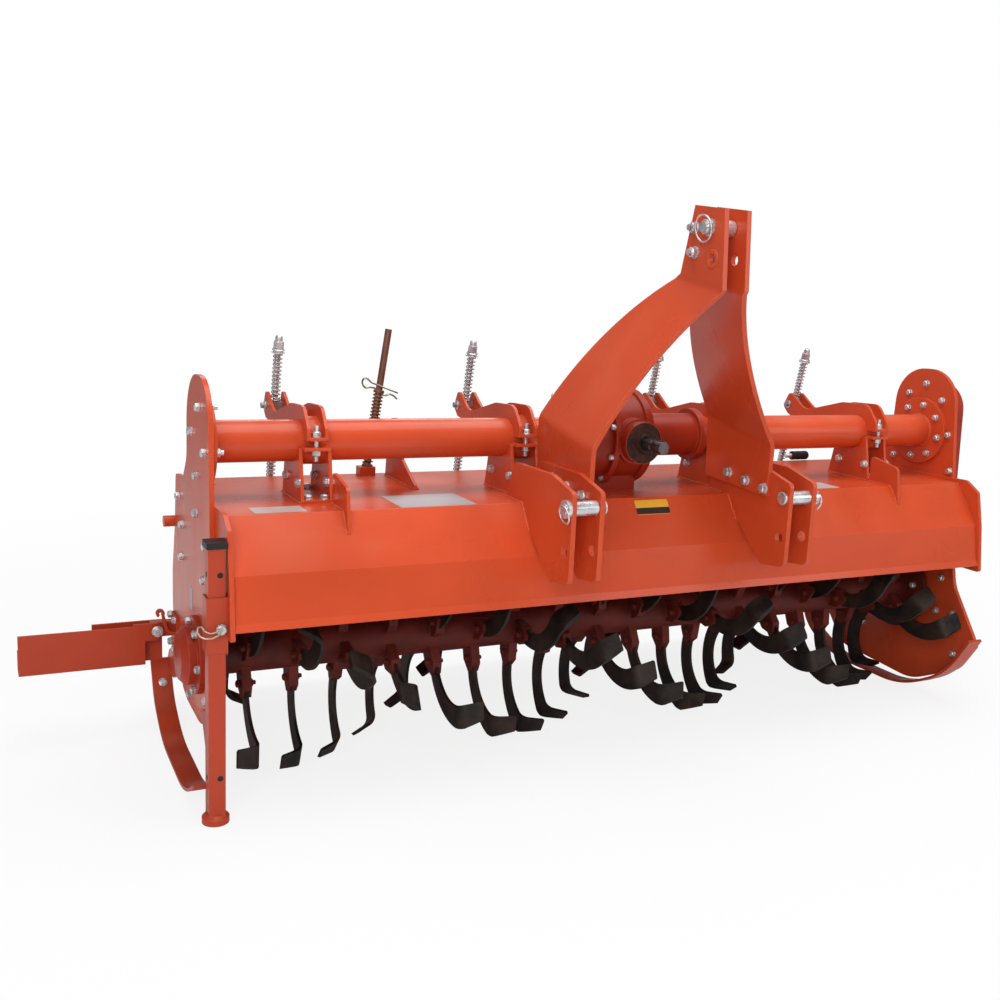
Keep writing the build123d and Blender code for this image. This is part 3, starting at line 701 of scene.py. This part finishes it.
# ------------------------ saddles and rod arms
# Each rod arm hooks over the main tube. A saddle welded to the deck grips the tube from
# below, and one stud with two nuts pulls the lips of both together at the front.
dress(orange, "clamp_bases", "rod_arm_1", "rod_arm_2", "rod_arm_3", "rod_arm_4")
ROD_X = [-895.0, -331.0, 309.0, 895.0]
STUD_Y, LIP, DECK = -70.0, 16.0, -142.0
bolted("clamp_nuts_top", [(x, STUD_Y, LIP) for x in ROD_X], UP, head=12, shank=13, seed=31)
bolted("clamp_nuts_low", [(x, STUD_Y, -LIP) for x in ROD_X], DOWN, head=12, shank=11, seed=32)


def studs(shape):
    """The plain stretch of each stud between the two lips."""
    for x in ROD_X:
        lathe(shape, (x, STUD_Y, -LIP), UP, [(0, 0), (6, 0), (6, 2 * LIP), (0, 2 * LIP)],
              sides=16)


solid("clamp_studs", studs, zinc, "frame")
WEB_OUT, WEB_IN = 40, 32
SADDLE_BOLTS = [(x + dx, y) for x in ROD_X for dx in (-20, 20) for y in (-76, 76)]
bolted("saddle_bolts", [(x, y, DECK + 8) for x, y in SADDLE_BOLTS], UP, seed=33)
bolted("saddle_nuts", [(x, y, DECK - 6) for x, y in SADDLE_BOLTS], DOWN, head=10, shank=6,
       seed=34)
bolted("web_bolts", [(x - WEB_OUT, y, z) for x in ROD_X for y, z in ((42, -92), (-70, -94))],
       LEFT, across=20, seed=35)
bolted("web_bolts_inside", [(x + WEB_IN, y, -94) for x in ROD_X for y in (42, -66)], LEFT,
       across=20, seed=36)
bolted("web_nuts", [(x + WEB_OUT, y, -94) for x in ROD_X for y in (42, -66)], RIGHT, across=20,
       head=10, shank=5, seed=37)
welded("saddle_welds", [
    [(x + side * (WEB_OUT + 1.5), y, DECK + 1) for y in (-86, 86)]
    for x in ROD_X for side in (-1, 1)
], "frame", orange, radius=3.0)
welded("gusset_welds", [
    [(x, y, z) for y, z in ((-98, -141), (-186, -141.5), (-219, -189))]
    for x in (ROD_X[0] + 32.5, ROD_X[0] + 43.5, ROD_X[3] - 32.5, ROD_X[3] - 43.5)
], "frame", orange, radius=2.6)

# ------------------------ sprung rods
# Plated round rods slide through cross pins in the arms and hold the trailing board down.
# Coil springs of bright wire sit above and below the pins; a nut and a cap close the top.
dress(zinc, "spring_rods")
dress(zinc_finish("dull_zinc", (0.50, 0.50, 0.52), 0.34), "trunnions")
PIVOT, EYE = Vector((325.0, 50.0)), Vector((420.0, -400.0))
ROD_WAY = Vector((0, *(PIVOT - EYE).normalized()))
CHEEK_OUT = 26.0
spring_steel = zinc_finish("spring_wire", (0.66, 0.66, 0.67), 0.22)


def spring_tree():
    """A coil of round wire with closed ends at every point, along its own direction."""
    coil = Wiring("coil_springs", (
        ("Coil radius", "Float"), ("Wire radius", "Float"), ("Length", "Float"),
        ("Turns", "Float"), ("Finish", "Material")))
    spiral = coil.add("GeometryNodeCurveSpiral", Resolution=18, Rotations=coil.given("Turns"),
                      Start_Radius=coil.given("Coil radius"),
                      End_Radius=coil.given("Coil radius"), Height=coil.given("Length"))
    ring = coil.add("GeometryNodeCurvePrimitiveCircle", {"mode": "RADIUS"}, Resolution=8,
                    Radius=coil.given("Wire radius"))
    wire = coil.add("GeometryNodeCurveToMesh", Curve=spiral, Profile_Curve=ring,
                    Fill_Caps=True)
    coil.at_points(wire)
    return coil


coils = spring_tree()


def on_rod(x, along):
    """A place on a rod, in millimetres above its cross pin."""
    return (x, PIVOT[0] + ROD_WAY[1] * along, PIVOT[1] + ROD_WAY[2] * along)


for name, low, high, turns, node in (("upper_coils", 20.5, 146.5, 11.5, "springs_upper"),
                                     ("lower_coils", -251.5, -77.5, 16, "springs_lower")):
    coil = grown(name, coils, [(spot(*on_rod(x, low)), ROD_WAY) for x in ROD_X], "rods",
                 "spring_steel", Coil_radius=10.8 * MM, Wire_radius=2.2 * MM,
                 Length=(high - low) * MM, Turns=float(turns), Finish=spring_steel)
    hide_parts(node)


NUT_COLLAR = [(13.2, 0), (16.5, 1), (16.5, 4), (14.4, 6)]
CAP_NUT = [(0, 0), (12.5, 0), (12.5, 2), (10, 3), (9.6, 12.8), (8, 16), (5, 17.6), (0, 18)]


def rod_fittings(shape):
    """Washers at the springs' ends and a rounded cap nut on each rod."""
    for x in ROD_X:
        for along, radius in ((147.2, 18.5), (16.2, 15), (-254.0, 15)):
            lathe(shape, on_rod(x, along), ROD_WAY, [
                (7.2, 0), (radius - 0.5, 0), (radius, 0.6), (radius, 2.2),
                (radius - 0.5, 2.8), (7.2, 2.8)], sides=24)
        lathe(shape, on_rod(x, 152), ROD_WAY, NUT_COLLAR, sides=24)
        lathe(shape, on_rod(x, 176), ROD_WAY, CAP_NUT, sides=20)


solid("rod_fittings", rod_fittings, zinc, "rods")
bolted("cross_pin_washers_left", [(x - CHEEK_OUT, *PIVOT) for x in ROD_X], LEFT,
       body="trunnions", across=22, head=1, seed=41)
bolted("cross_pin_washers_right", [(x + CHEEK_OUT, *PIVOT) for x in ROD_X], RIGHT,
       body="trunnions", across=22, head=1, seed=42)

# ------------------------ adjusting rod
# A brown-lacquered tube with a hairpin clip and its own long spring stands in a socket at
# the rear edge of the deck. A cut plate is welded on edge beside it.
def lacquer():
    coat = Finish("brown_lacquer")
    blot = coat.noise(55.0, detail=5.0, roughness=0.7, stretch=(1, 1, 0.3))
    tone = coat.blend(blot.clamp(0.35, 0.68), (0.12, 0.045, 0.028), (0.27, 0.105, 0.058))
    # Painted highlight: a lighter, greyer brown along hard edges.
    tone = coat.blend(coat.edge(0.0012) * 0.7, tone, (0.42, 0.30, 0.24))
    return coat.end(Base_Color=tone, Roughness=0.34 + 0.3 * blot, Metallic=0.25,
                    Normal=coat.rounded(0.0012))


brown = lacquer()
dress(brown, "adjusting_rod")
FOOT_X, FOOT_Y, LEAN = -647.0, 284.0, math.radians(8)
LEAN_WAY = Vector((math.sin(LEAN), 0, math.cos(LEAN)))


def up_tube(along):
    """A place on the tube's axis, in millimetres up from the deck."""
    return (FOOT_X + LEAN_WAY[0] * along, FOOT_Y, DECK + LEAN_WAY[2] * along)


grown("tube_coil", coils, [(spot(*up_tube(30)), LEAN_WAY)], "frame", "brown_steel",
      Coil_radius=12.6 * MM, Wire_radius=2.3 * MM, Length=200 * MM, Turns=21.0, Finish=brown)
solid("tube_collars", lambda s: [lathe(s, up_tube(a), LEAN_WAY, [
    (9.6, 0), (14, 0), (15, 1.5), (15, 7), (14, 8.5), (9.6, 8.5)], sides=24)
    for a in (22, 232)], brown, "frame")
clip_steel = steel("clip_wire", (0.56, 0.52, 0.42), 0.26, (400, 400, 400))
hairpin("clip_tube", Vector(up_tube(250)) + Vector((-40, -12, 14)), (1, -0.1, -0.36),
        (0, -0.35, 1), 92, thick=2.6, material=clip_steel, slot="brown_steel")


def rounded(width, height, radius, steps):
    """Outline of a rectangle with rounded corners, about its own middle."""
    outline = []
    for sx, sy, start in ((1, 1, 0), (-1, 1, 90), (-1, -1, 180), (1, -1, 270)):
        for k in range(steps + 1):
            a = math.radians(start + 90 * k / steps)
            outline.append((sx * (width / 2 - radius) + radius * math.cos(a),
                            sy * (height / 2 - radius) + radius * math.sin(a)))
    return outline


SOCKET_X, SOCKET_Y, SOCKET_HIGH = 46, 38, 25


def rod_socket(shape):
    """The bar end that the tube stands in, with its upright corners rounded."""
    skin(shape, [[shape.verts.new(spot(FOOT_X + u, FOOT_Y + v, DECK + up))
                  for u, v in rounded(SOCKET_X, SOCKET_Y, 3, 3)] for up in (0, SOCKET_HIGH)])


solid("rod_socket", rod_socket, orange, "frame")
STRUT = [(38, -142), (46, -132), (144, -79), (168, -30), (190, 18), (204, 28), (232, 24),
         (250, -20), (266, -90), (272, -142)]


def cut_plate(shape, x0, x1, outline):
    """A plate on edge between two distances along the tube, cut to a (y, z) outline."""
    skin(shape, [[shape.verts.new(spot(x, y, z)) for y, z in outline] for x in (x0, x1)])


STRUT_X = (-594, -586)
solid("rod_strut", lambda s: cut_plate(s, *STRUT_X, STRUT), orange, "frame")
welded("strut_welds", [[(x, y, DECK + 1) for y in (40, 270)]
                       for x in (STRUT_X[0] - 1, STRUT_X[1] + 1)], "frame", orange, radius=2.6)

# ------------------------ skids
# Flat bar rolled to a bow under each side plate. The right one is welded to its plate; the
# left one sits outboard and hangs from two gusset plates welded to the foot of its plate.
dress(orange_shaded, "skid_left", "skid_right")
GUSSET_OUT = -OUTSIDE - 8
REAR_GUSSET = [(425, -668), (403, -707), (330, -694), (262, -664), (262, -614), (340, -609),
               (392, -632)]
FRONT_GUSSET = [(-207, -766), (-180, -722), (-128, -660), (-106, -626), (-62, -640),
                (-104, -700), (-168, -784)]


def skid_gussets(shape):
    """The two plates that carry the left skid."""
    for outline in (REAR_GUSSET, FRONT_GUSSET):
        cut_plate(shape, GUSSET_OUT, -OUTSIDE, outline)


solid("skid_gussets", skid_gussets, orange_shaded, "frame")
STRAP_BOLT, STRAP_FACE = (-1186, 389.5, -725), (0, -0.877, 0.481)
bolted("skid_bolt", [STRAP_BOLT], STRAP_FACE, seed=45)
welded("skid_welds", [
    [(GUSSET_OUT - 1, y, z) for y, z in ((424, -670), (404, -705))],
    [(-OUTSIDE - 1, y, z) for y, z in ((330, -610), (264, -614), (263, -650))],
    [(-OUTSIDE - 1, y, z) for y, z in ((-128, -659), (-107, -628), (-66, -640))],
    [(GUSSET_OUT - 1, y, z) for y, z in ((-204, -764), (-170, -781))],
], "frame", orange_shaded, radius=2.6)

# ------------------------ rotor and tines
# A heavy tube carries welded sockets in a helix. Each takes one forged tine by a bolt.
# The rotor is dipped in dark red-brown primer; the tines keep a black hardening scale,
# browner in random patches, with a painted brown-grey sheen along their hard edges.
def primer():
    coat = Finish("rotor_primer")
    blot = coat.noise(14.0, detail=5.0, roughness=0.6)
    fine = coat.noise(220.0, detail=2.0)
    tone = coat.blend(blot.clamp(0.3, 0.7), (0.080, 0.0080, 0.0050), (0.150, 0.017, 0.0095))
    # Painted highlight: a lighter red-brown along hard edges.
    tone = coat.blend(coat.edge(0.003) * 0.35, tone, (0.24, 0.05, 0.03))
    return coat.end(Base_Color=tone, Roughness=0.50 + 0.15 * blot, IOR=1.35,
                    Normal=coat.relief(0.2, 0.0006, fine, 0.003))


def scale():
    coat = Finish("tine_scale")
    blot = coat.noise(16.0, detail=5.0, roughness=0.65)
    grind_and_sheen = coat.noise(120.0, detail=3.0, stretch=(1, 4, 1))
    tone = coat.blend(blot.clamp(0.40, 0.66), (0.0050, 0.0036, 0.0032), (0.034, 0.018, 0.012))
    # Painted sheen: a brown-grey along hard edges, in streaks of the grinding noise.
    tone = coat.blend(coat.edge(0.0025) * (grind_and_sheen * 0.4), tone, (0.055, 0.040, 0.034))
    return coat.end(Base_Color=tone, Roughness=0.44 + 0.16 * blot, IOR=1.33,
                    Normal=coat.relief(0.2, 0.0005, grind_and_sheen, 0.0025))


primed, scaled = primer(), scale()
dress(primed, "rotor_tube", "rotor_hubs")
dress(scaled, "tines")
ROTOR_Y, ROTOR_Z = 10.0, -525.0
RINGS, RING_PITCH, RING_TURN, RING_FIRST, RING_TINES = 18, 124.0, -19.1, 21.0, 4
SOCKET_HALF, SOCKET_BOLT = 12.0, 82.0
sockets = []
for ring in range(RINGS):
    for number in range(RING_TINES):
        a = math.radians(RING_FIRST + ring * RING_TURN + number * 360 / RING_TINES)
        x = (ring - (RINGS - 1) / 2) * RING_PITCH
        sockets.append((x, ROTOR_Y - SOCKET_BOLT * math.sin(a),
                        ROTOR_Z - SOCKET_BOLT * math.cos(a)))
for name, side, shank in (("socket_bolts", LEFT, 0), ("socket_nuts", RIGHT, 5)):
    grown(name, bolts, [(spot(x + side[0] * SOCKET_HALF, y, z), Vector(side))
                        for x, y, z in sockets], "rotor", "rotor_paint",
          Across_flats=17 * MM, Head_height=8 * MM, Washer_radius=9.8 * MM,
          Washer_thickness=1.5 * MM, Shank_out=shank * MM, Turn_seed=51, Finish=primed)
HUB_FACE = 1118
hub_bolts = on_circle(86, [a * math.pi / 4 + 0.3 for a in range(8)])
for name, x, way in (("hub_bolts_left", -HUB_FACE, RIGHT), ("hub_bolts_right", HUB_FACE, LEFT)):
    bolted(name, [(x, ROTOR_Y + y, ROTOR_Z + z) for y, z in hub_bolts], way, body="rotor",
           across=17, head=8, seed=52)
BEARING_THICK = 14
cap_bolts = on_circle(84, [a * math.pi / 3 + 0.4 for a in range(6)])
bolted("bearing_bolts", [(-OUTSIDE - BEARING_THICK, ROTOR_Y + y, ROTOR_Z + z)
                         for y, z in cap_bolts], LEFT, across=17, seed=53)

# ------------------------ drive case
# The deep cover of the side gears is cast iron under the same paint as the gearbox. A ring
# of small bolts holds its rim to the right side plate.
RIM = [(0, 164), (70, 142), (97, 84), (103, 10), (107, -70), (112, -160), (119, -260),
       (123, -360), (127, -460), (128, -560), (98, -622), (10, -652), (-78, -622),
       (-109, -560), (-111, -460), (-111, -360), (-111, -260), (-110, -160), (-104, -70),
       (-99, 10), (-96, 84), (-70, 142)]
RIM_THICK = 12
bolted("case_rim_bolts", [(OUTSIDE + RIM_THICK, y, z) for y, z in RIM], RIGHT, across=13,
       head=7, seed=61)

# ------------------------ parking stand
# A square tube slides in a welded sleeve and is held by a pin with a wire loop; a black
# plastic cap closes its top.
def plastic():
    cap = Finish("black_cap")
    grain = cap.noise(600.0, detail=2.0)
    tone = cap.blend(grain.clamp(0.3, 0.7), (0.010, 0.010, 0.011), (0.020, 0.020, 0.022))
    return cap.end(Base_Color=tone, Roughness=0.42 + 0.12 * grain, IOR=1.36,
                   Normal=cap.relief(0.15, 0.0003, grain, 0.002))


black = plastic()
dress(orange_shaded, "stand_leg", "stand_sleeve")
dress(black, "stand_cap")
STAND_X, STAND_Y, PIN_Z = -1171.5, -250.0, -376.0


def stand_pin(shape):
    """The pin through sleeve and leg, with a flat head and a collar at the front."""
    lathe(shape, (STAND_X + 9, STAND_Y - 36, PIN_Z), BACK, [
        (0, 0), (8, 0), (10, 1.5), (10, 7), (12.5, 7.6), (12.5, 10.5), (6.5, 11), (6.5, 70),
        (5, 72), (0, 72)], sides=20)


solid("stand_pin", stand_pin, zinc, "frame")
LOOP = [(9, -36, 2), (0, -37, -9), (-14, -36, -16), (-27, -34, -16), (-38, -28, -12),
        (-42, -18, -4), (-40, -14, 6), (-33, -18, 7), (-29, -28, 0), (-18, -35, -5),
        (-4, -39, -1), (9, -38, 9)]
welded("stand_pin_wire", [[(STAND_X + x, STAND_Y + y, PIN_Z + z) for x, y, z in LOOP]],
       "frame", clip_steel, "zinc", radius=2.0, ripple=0.0, step=3, sides=8)


def leg_hole_shade(shape):
    """Dark discs of painted shade where the drilled holes are, on the front and left of the leg.
    """
    for z in (-256.0, -728.0):
        for way, dx, dy in ((FRONT, 7, -19), (LEFT, -19, 0)):
            lathe(shape, (STAND_X + dx, STAND_Y + dy, z), way,
                  [(0, 0.3), (6.0, 0.3), (6.6, 0.1), (6.6, -1), (0, -1)], sides=24)


# Painted shade: a near-black finish that stands in for the inside of the holes.
def shadowed():
    hole = Finish("painted_hole_shade")
    deep = hole.noise(200.0)
    return hole.end(Base_Color=hole.blend(deep, (0.006, 0.003, 0.003), (0.03, 0.008, 0.006)),
                    Roughness=0.8)


hole_shade = shadowed()
solid("leg_hole_shade", leg_hole_shade, hole_shade, "stand")

# ------------------------ folding side arm
# A channel bent from plate turns on a pin in a bracket bolted to the left side plate. It
# guides soil off the ridge and folds up for the road.
dress(orange_shaded, "side_arm", "side_arm_bracket")
ARM_X, ARM_Z, BRACKET_THICK = -1214.0, -546.0, 8
bolted("arm_nut", [(ARM_X, 290, ARM_Z)], FRONT, across=24, head=10, seed=71)
bolted("arm_plate_bolts", [(-OUTSIDE - BRACKET_THICK, y, z) for y in (288, 352)
                           for z in (-596, -520)], LEFT, across=17, head=8, seed=72)
HOOK_EYE, HOOK_R, HOOK_HALF = Vector((-1207.0, -496.0)), 7.5, 3.8
HOOK_FRONT, HOOK_BACK = 280.0, 293.0
HOOK_STEM = [(-1167, -554), (-1180, -552), (-1190, -544), (-1195, -528), (-1198, -512)]


def hook(shape):
    """A flat bar welded to the bracket, its top rolled over to an open eye."""
    path = [Vector(place) for place in HOOK_STEM]
    for degrees in range(-30, 241, 15):
        a = math.radians(degrees)
        path.append(HOOK_EYE + Vector((math.cos(a), math.sin(a))) * HOOK_R)
    rows = []
    for k, place in enumerate(path):
        along = (path[min(k + 1, len(path) - 1)] - path[max(k - 1, 0)]).normalized()
        aside = Vector((-along[1], along[0])) * HOOK_HALF
        rows.append([shape.verts.new(spot(edge[0], y, edge[1])) for edge, y in (
            (place - aside, HOOK_FRONT), (place + aside, HOOK_FRONT),
            (place + aside, HOOK_BACK), (place - aside, HOOK_BACK))])
    skin(shape, rows)


solid("arm_hook", hook, orange_shaded, "frame")

# ------------------------ trailing board
# One rolled sheet hangs from a long hinge rod behind the rotor. A pipe stiffens its edge
# and four welded lugs take the eyes of the sprung rods.
dress(orange, "trailing_board", "board_lugs")
KNUCKLES, KNUCKLE_HALF = (-1100.0, -560.0, 0.0, 560.0, 1100.0), 28
BOARD_TOP = (353.5, -278.5)
welded("knuckle_welds", [[(x + dx, *BOARD_TOP) for dx in (-KNUCKLE_HALF, KNUCKLE_HALF)]
                         for x in KNUCKLES], "trailing_board", orange, radius=2.6)

# ------------------------ black handle at the right rear
# A short grip of ribbed black rubber on a plated, threaded stud. It lies just over the
# deck's rear edge; what holds the stud is hidden and isn't made.
GRIP_END = (886, 306, -124)


def grip(shape):
    """Ribbed rubber, with three shallow finger grooves."""
    lathe(shape, GRIP_END, RIGHT, [
        (0, 0), (13, 0), (15, 2), (15, 12), (13.6, 14), (13.6, 20), (15, 22), (15, 34),
        (13.6, 36), (13.6, 42), (15, 44), (15, 62), (13, 66), (0, 66)], sides=24)


def grip_stud(shape):
    """A threaded stud, with one ridge to every 2 mm."""
    profile = [(0, -26)]
    for along in range(-26, 0, 2):
        profile += [(6.6, along), (7.6, along + 1)]
    lathe(shape, GRIP_END, RIGHT, [*profile, (0, 0)], sides=16)


solid("rear_grip", grip, black, "frame")
solid("rear_grip_stud", grip_stud, zinc, "frame")

# ------------------------ blank labels
# Thin foil plates in silver, yellow and grey are stuck to the hood and to the left side
# plate. They are left bare of lettering.
def foil(name, colour, band=None, low=0.0, high=0.0):
    """Printed foil, with a band of a second colour between two heights."""
    film = Finish(name)
    cloud = film.noise(24.0, detail=4.0)
    tone = film.blend(cloud.clamp(0.35, 0.7), tuple(c * 0.86 for c in colour), colour)
    if band:
        height = film.add("SeparateXYZ", give="Z", Vector=film.place())
        inside = height.maths("GREATER_THAN", height, low)
        tone = film.blend(inside * height.maths("LESS_THAN", height, high), tone, band)
    return film.end(Base_Color=tone, Roughness=0.28 + 0.2 * cloud,
                    Normal=film.relief(0.1, 0.0005, cloud))


def plate_label(name, centre, along, across, width, height, material):
    """A thin plate with rounded corners that lies on a sheet."""
    along, across = Vector(along), Vector(across)
    lift = along.cross(across)

    def build(shape):
        skin(shape, [[shape.verts.new(spot(*(
            Vector(centre) + along * u * (1 - inset / width)
            + across * v * (1 - inset / height) + lift * above)))
            for u, v in rounded(width, height, 4.0, 4)]
            for inset, above in ((0, 0.0), (0, 0.7), (0.8, 1.0))])

    solid(name, build, material, "frame")


silver = foil("silver_foil", (0.42, 0.38, 0.39))
pale = foil("pale_foil", (0.52, 0.42, 0.40))
slope = Vector((0, 85, 119)).normalized()
band_z = spot(0, 0, -172)[2]
yellow = foil("yellow_foil", (0.80, 0.42, 0.03), (0.02, 0.015, 0.012), band_z - 0.010,
              band_z + 0.005)
plate_label("label_silver", (-616, -109, DECK + 0.1), RIGHT, BACK, 200, 150, silver)
plate_label("label_small_left", (-1006, -142, DECK + 0.1), RIGHT, BACK, 124, 66, pale)
plate_label("label_small_right", (617, -136, DECK + 0.1), RIGHT, BACK, 88, 84, pale)
plate_label("label_yellow", (-11, -203.4, -166.3), RIGHT, slope, 104, 42, yellow)
plate_label("label_grey", (-OUTSIDE - 0.1, 96, -407), FRONT, UP, 30, 58, silver)

# ------------------------ camera, floor and light
# Not part of the machine: a pale floor, a white surround and soft lamps overhead.
EYE_PLACE, LENS = (-1648.1, -2615.7, 371.7), 39.67
YAW, PITCH, ROLL = math.radians(26.15), math.radians(-10.556), math.radians(2.63)
camera_data = bpy.data.cameras.new("camera")
camera_data.lens, camera_data.sensor_width = LENS, 36.0
camera = set_down("camera", camera_data)
ahead = Vector((math.sin(YAW) * math.cos(PITCH), math.cos(YAW) * math.cos(PITCH),
                math.sin(PITCH)))
level = ahead.cross(Vector(UP)).normalized()
above = level.cross(ahead)
right = level * math.cos(ROLL) + above * math.sin(ROLL)
top = above * math.cos(ROLL) - level * math.sin(ROLL)
turn = Matrix((right, top, -ahead)).transposed()
camera.matrix_world = Matrix.Translation(spot(*EYE_PLACE)) @ turn.to_4x4()
bpy.context.scene.camera = camera
bpy.context.scene.view_settings.view_transform = "Standard"

FLOOR_REACH, FLOOR_DROP = 9.0, 0.001
ground = Finish("pale_floor")
shaded = ground.add("BsdfDiffuse", Color=(0.86, 0.86, 0.86))
bright = ground.add("Emission", Color=(1.0, 1.0, 1.0), Strength=1.0)
seen = ground.add("LightPath", give="Is Camera Ray")
away = ground.add("VectorMath", {"operation": "LENGTH"}, give="Value", Vector=ground.place())
ground.surface(ground.add("MixShader", Fac=seen * (0.84 + 0.16 * away.clamp(1.4, 3.6)),
                          Shader=shaded, Shader_001=bright))
floor_mesh = bpy.data.meshes.new("floor")
floor_mesh.from_pydata([(x * FLOOR_REACH, y * FLOOR_REACH, cad_box[0][2] - FLOOR_DROP)
                        for x, y in ((-1, -1), (1, -1), (1, 1), (-1, 1))], [], [(0, 1, 2, 3)])
floor_mesh.materials.append(ground.material)
set_down("floor", floor_mesh)

world = bpy.data.worlds.new("studio")
bpy.context.scene.world = world
world.use_nodes = True
tree = world.node_tree
tree.nodes.clear()
paths = tree.nodes.new("ShaderNodeLightPath")
pick = tree.nodes.new("ShaderNodeMixShader")
last = tree.nodes.new("ShaderNodeOutputWorld")
tree.links.new(paths.outputs["Is Camera Ray"], pick.inputs[0])
for number, colour, strength in ((1, (0.95, 0.97, 1.0, 1.0), 0.31),
                                 (2, (1.0, 1.0, 1.0, 1.0), 1.0)):
    surround = tree.nodes.new("ShaderNodeBackground")
    surround.inputs["Color"].default_value = colour
    surround.inputs["Strength"].default_value = strength
    tree.links.new(surround.outputs[0], pick.inputs[number])
tree.links.new(pick.outputs[0], last.inputs["Surface"])


def lamp(name, place, aim_height, width, height, power):
    """A soft box that looks at a height over the middle of the machine."""
    data = bpy.data.lights.new(name, "AREA")
    data.shape = "RECTANGLE"
    data.size, data.size_y, data.energy = width, height, power
    light = set_down(name, data)
    light.location = place
    way = (Vector((0, 0, aim_height)) - Vector(place)).to_track_quat("-Z", "Y")
    light.rotation_euler = way.to_euler()


lamp("overhead", (0.2, -0.4, 4.2), 0.6, 5.0, 3.0, 150)
lamp("front_left", (-3.2, -4.4, 2.6), 0.5, 2.5, 2.5, 115)
lamp("front_right", (3.4, -4.0, 2.2), 0.5, 2.0, 2.5, 45)
lamp("behind", (1.4, 4.4, 3.2), 0.5, 3.0, 1.5, 40)
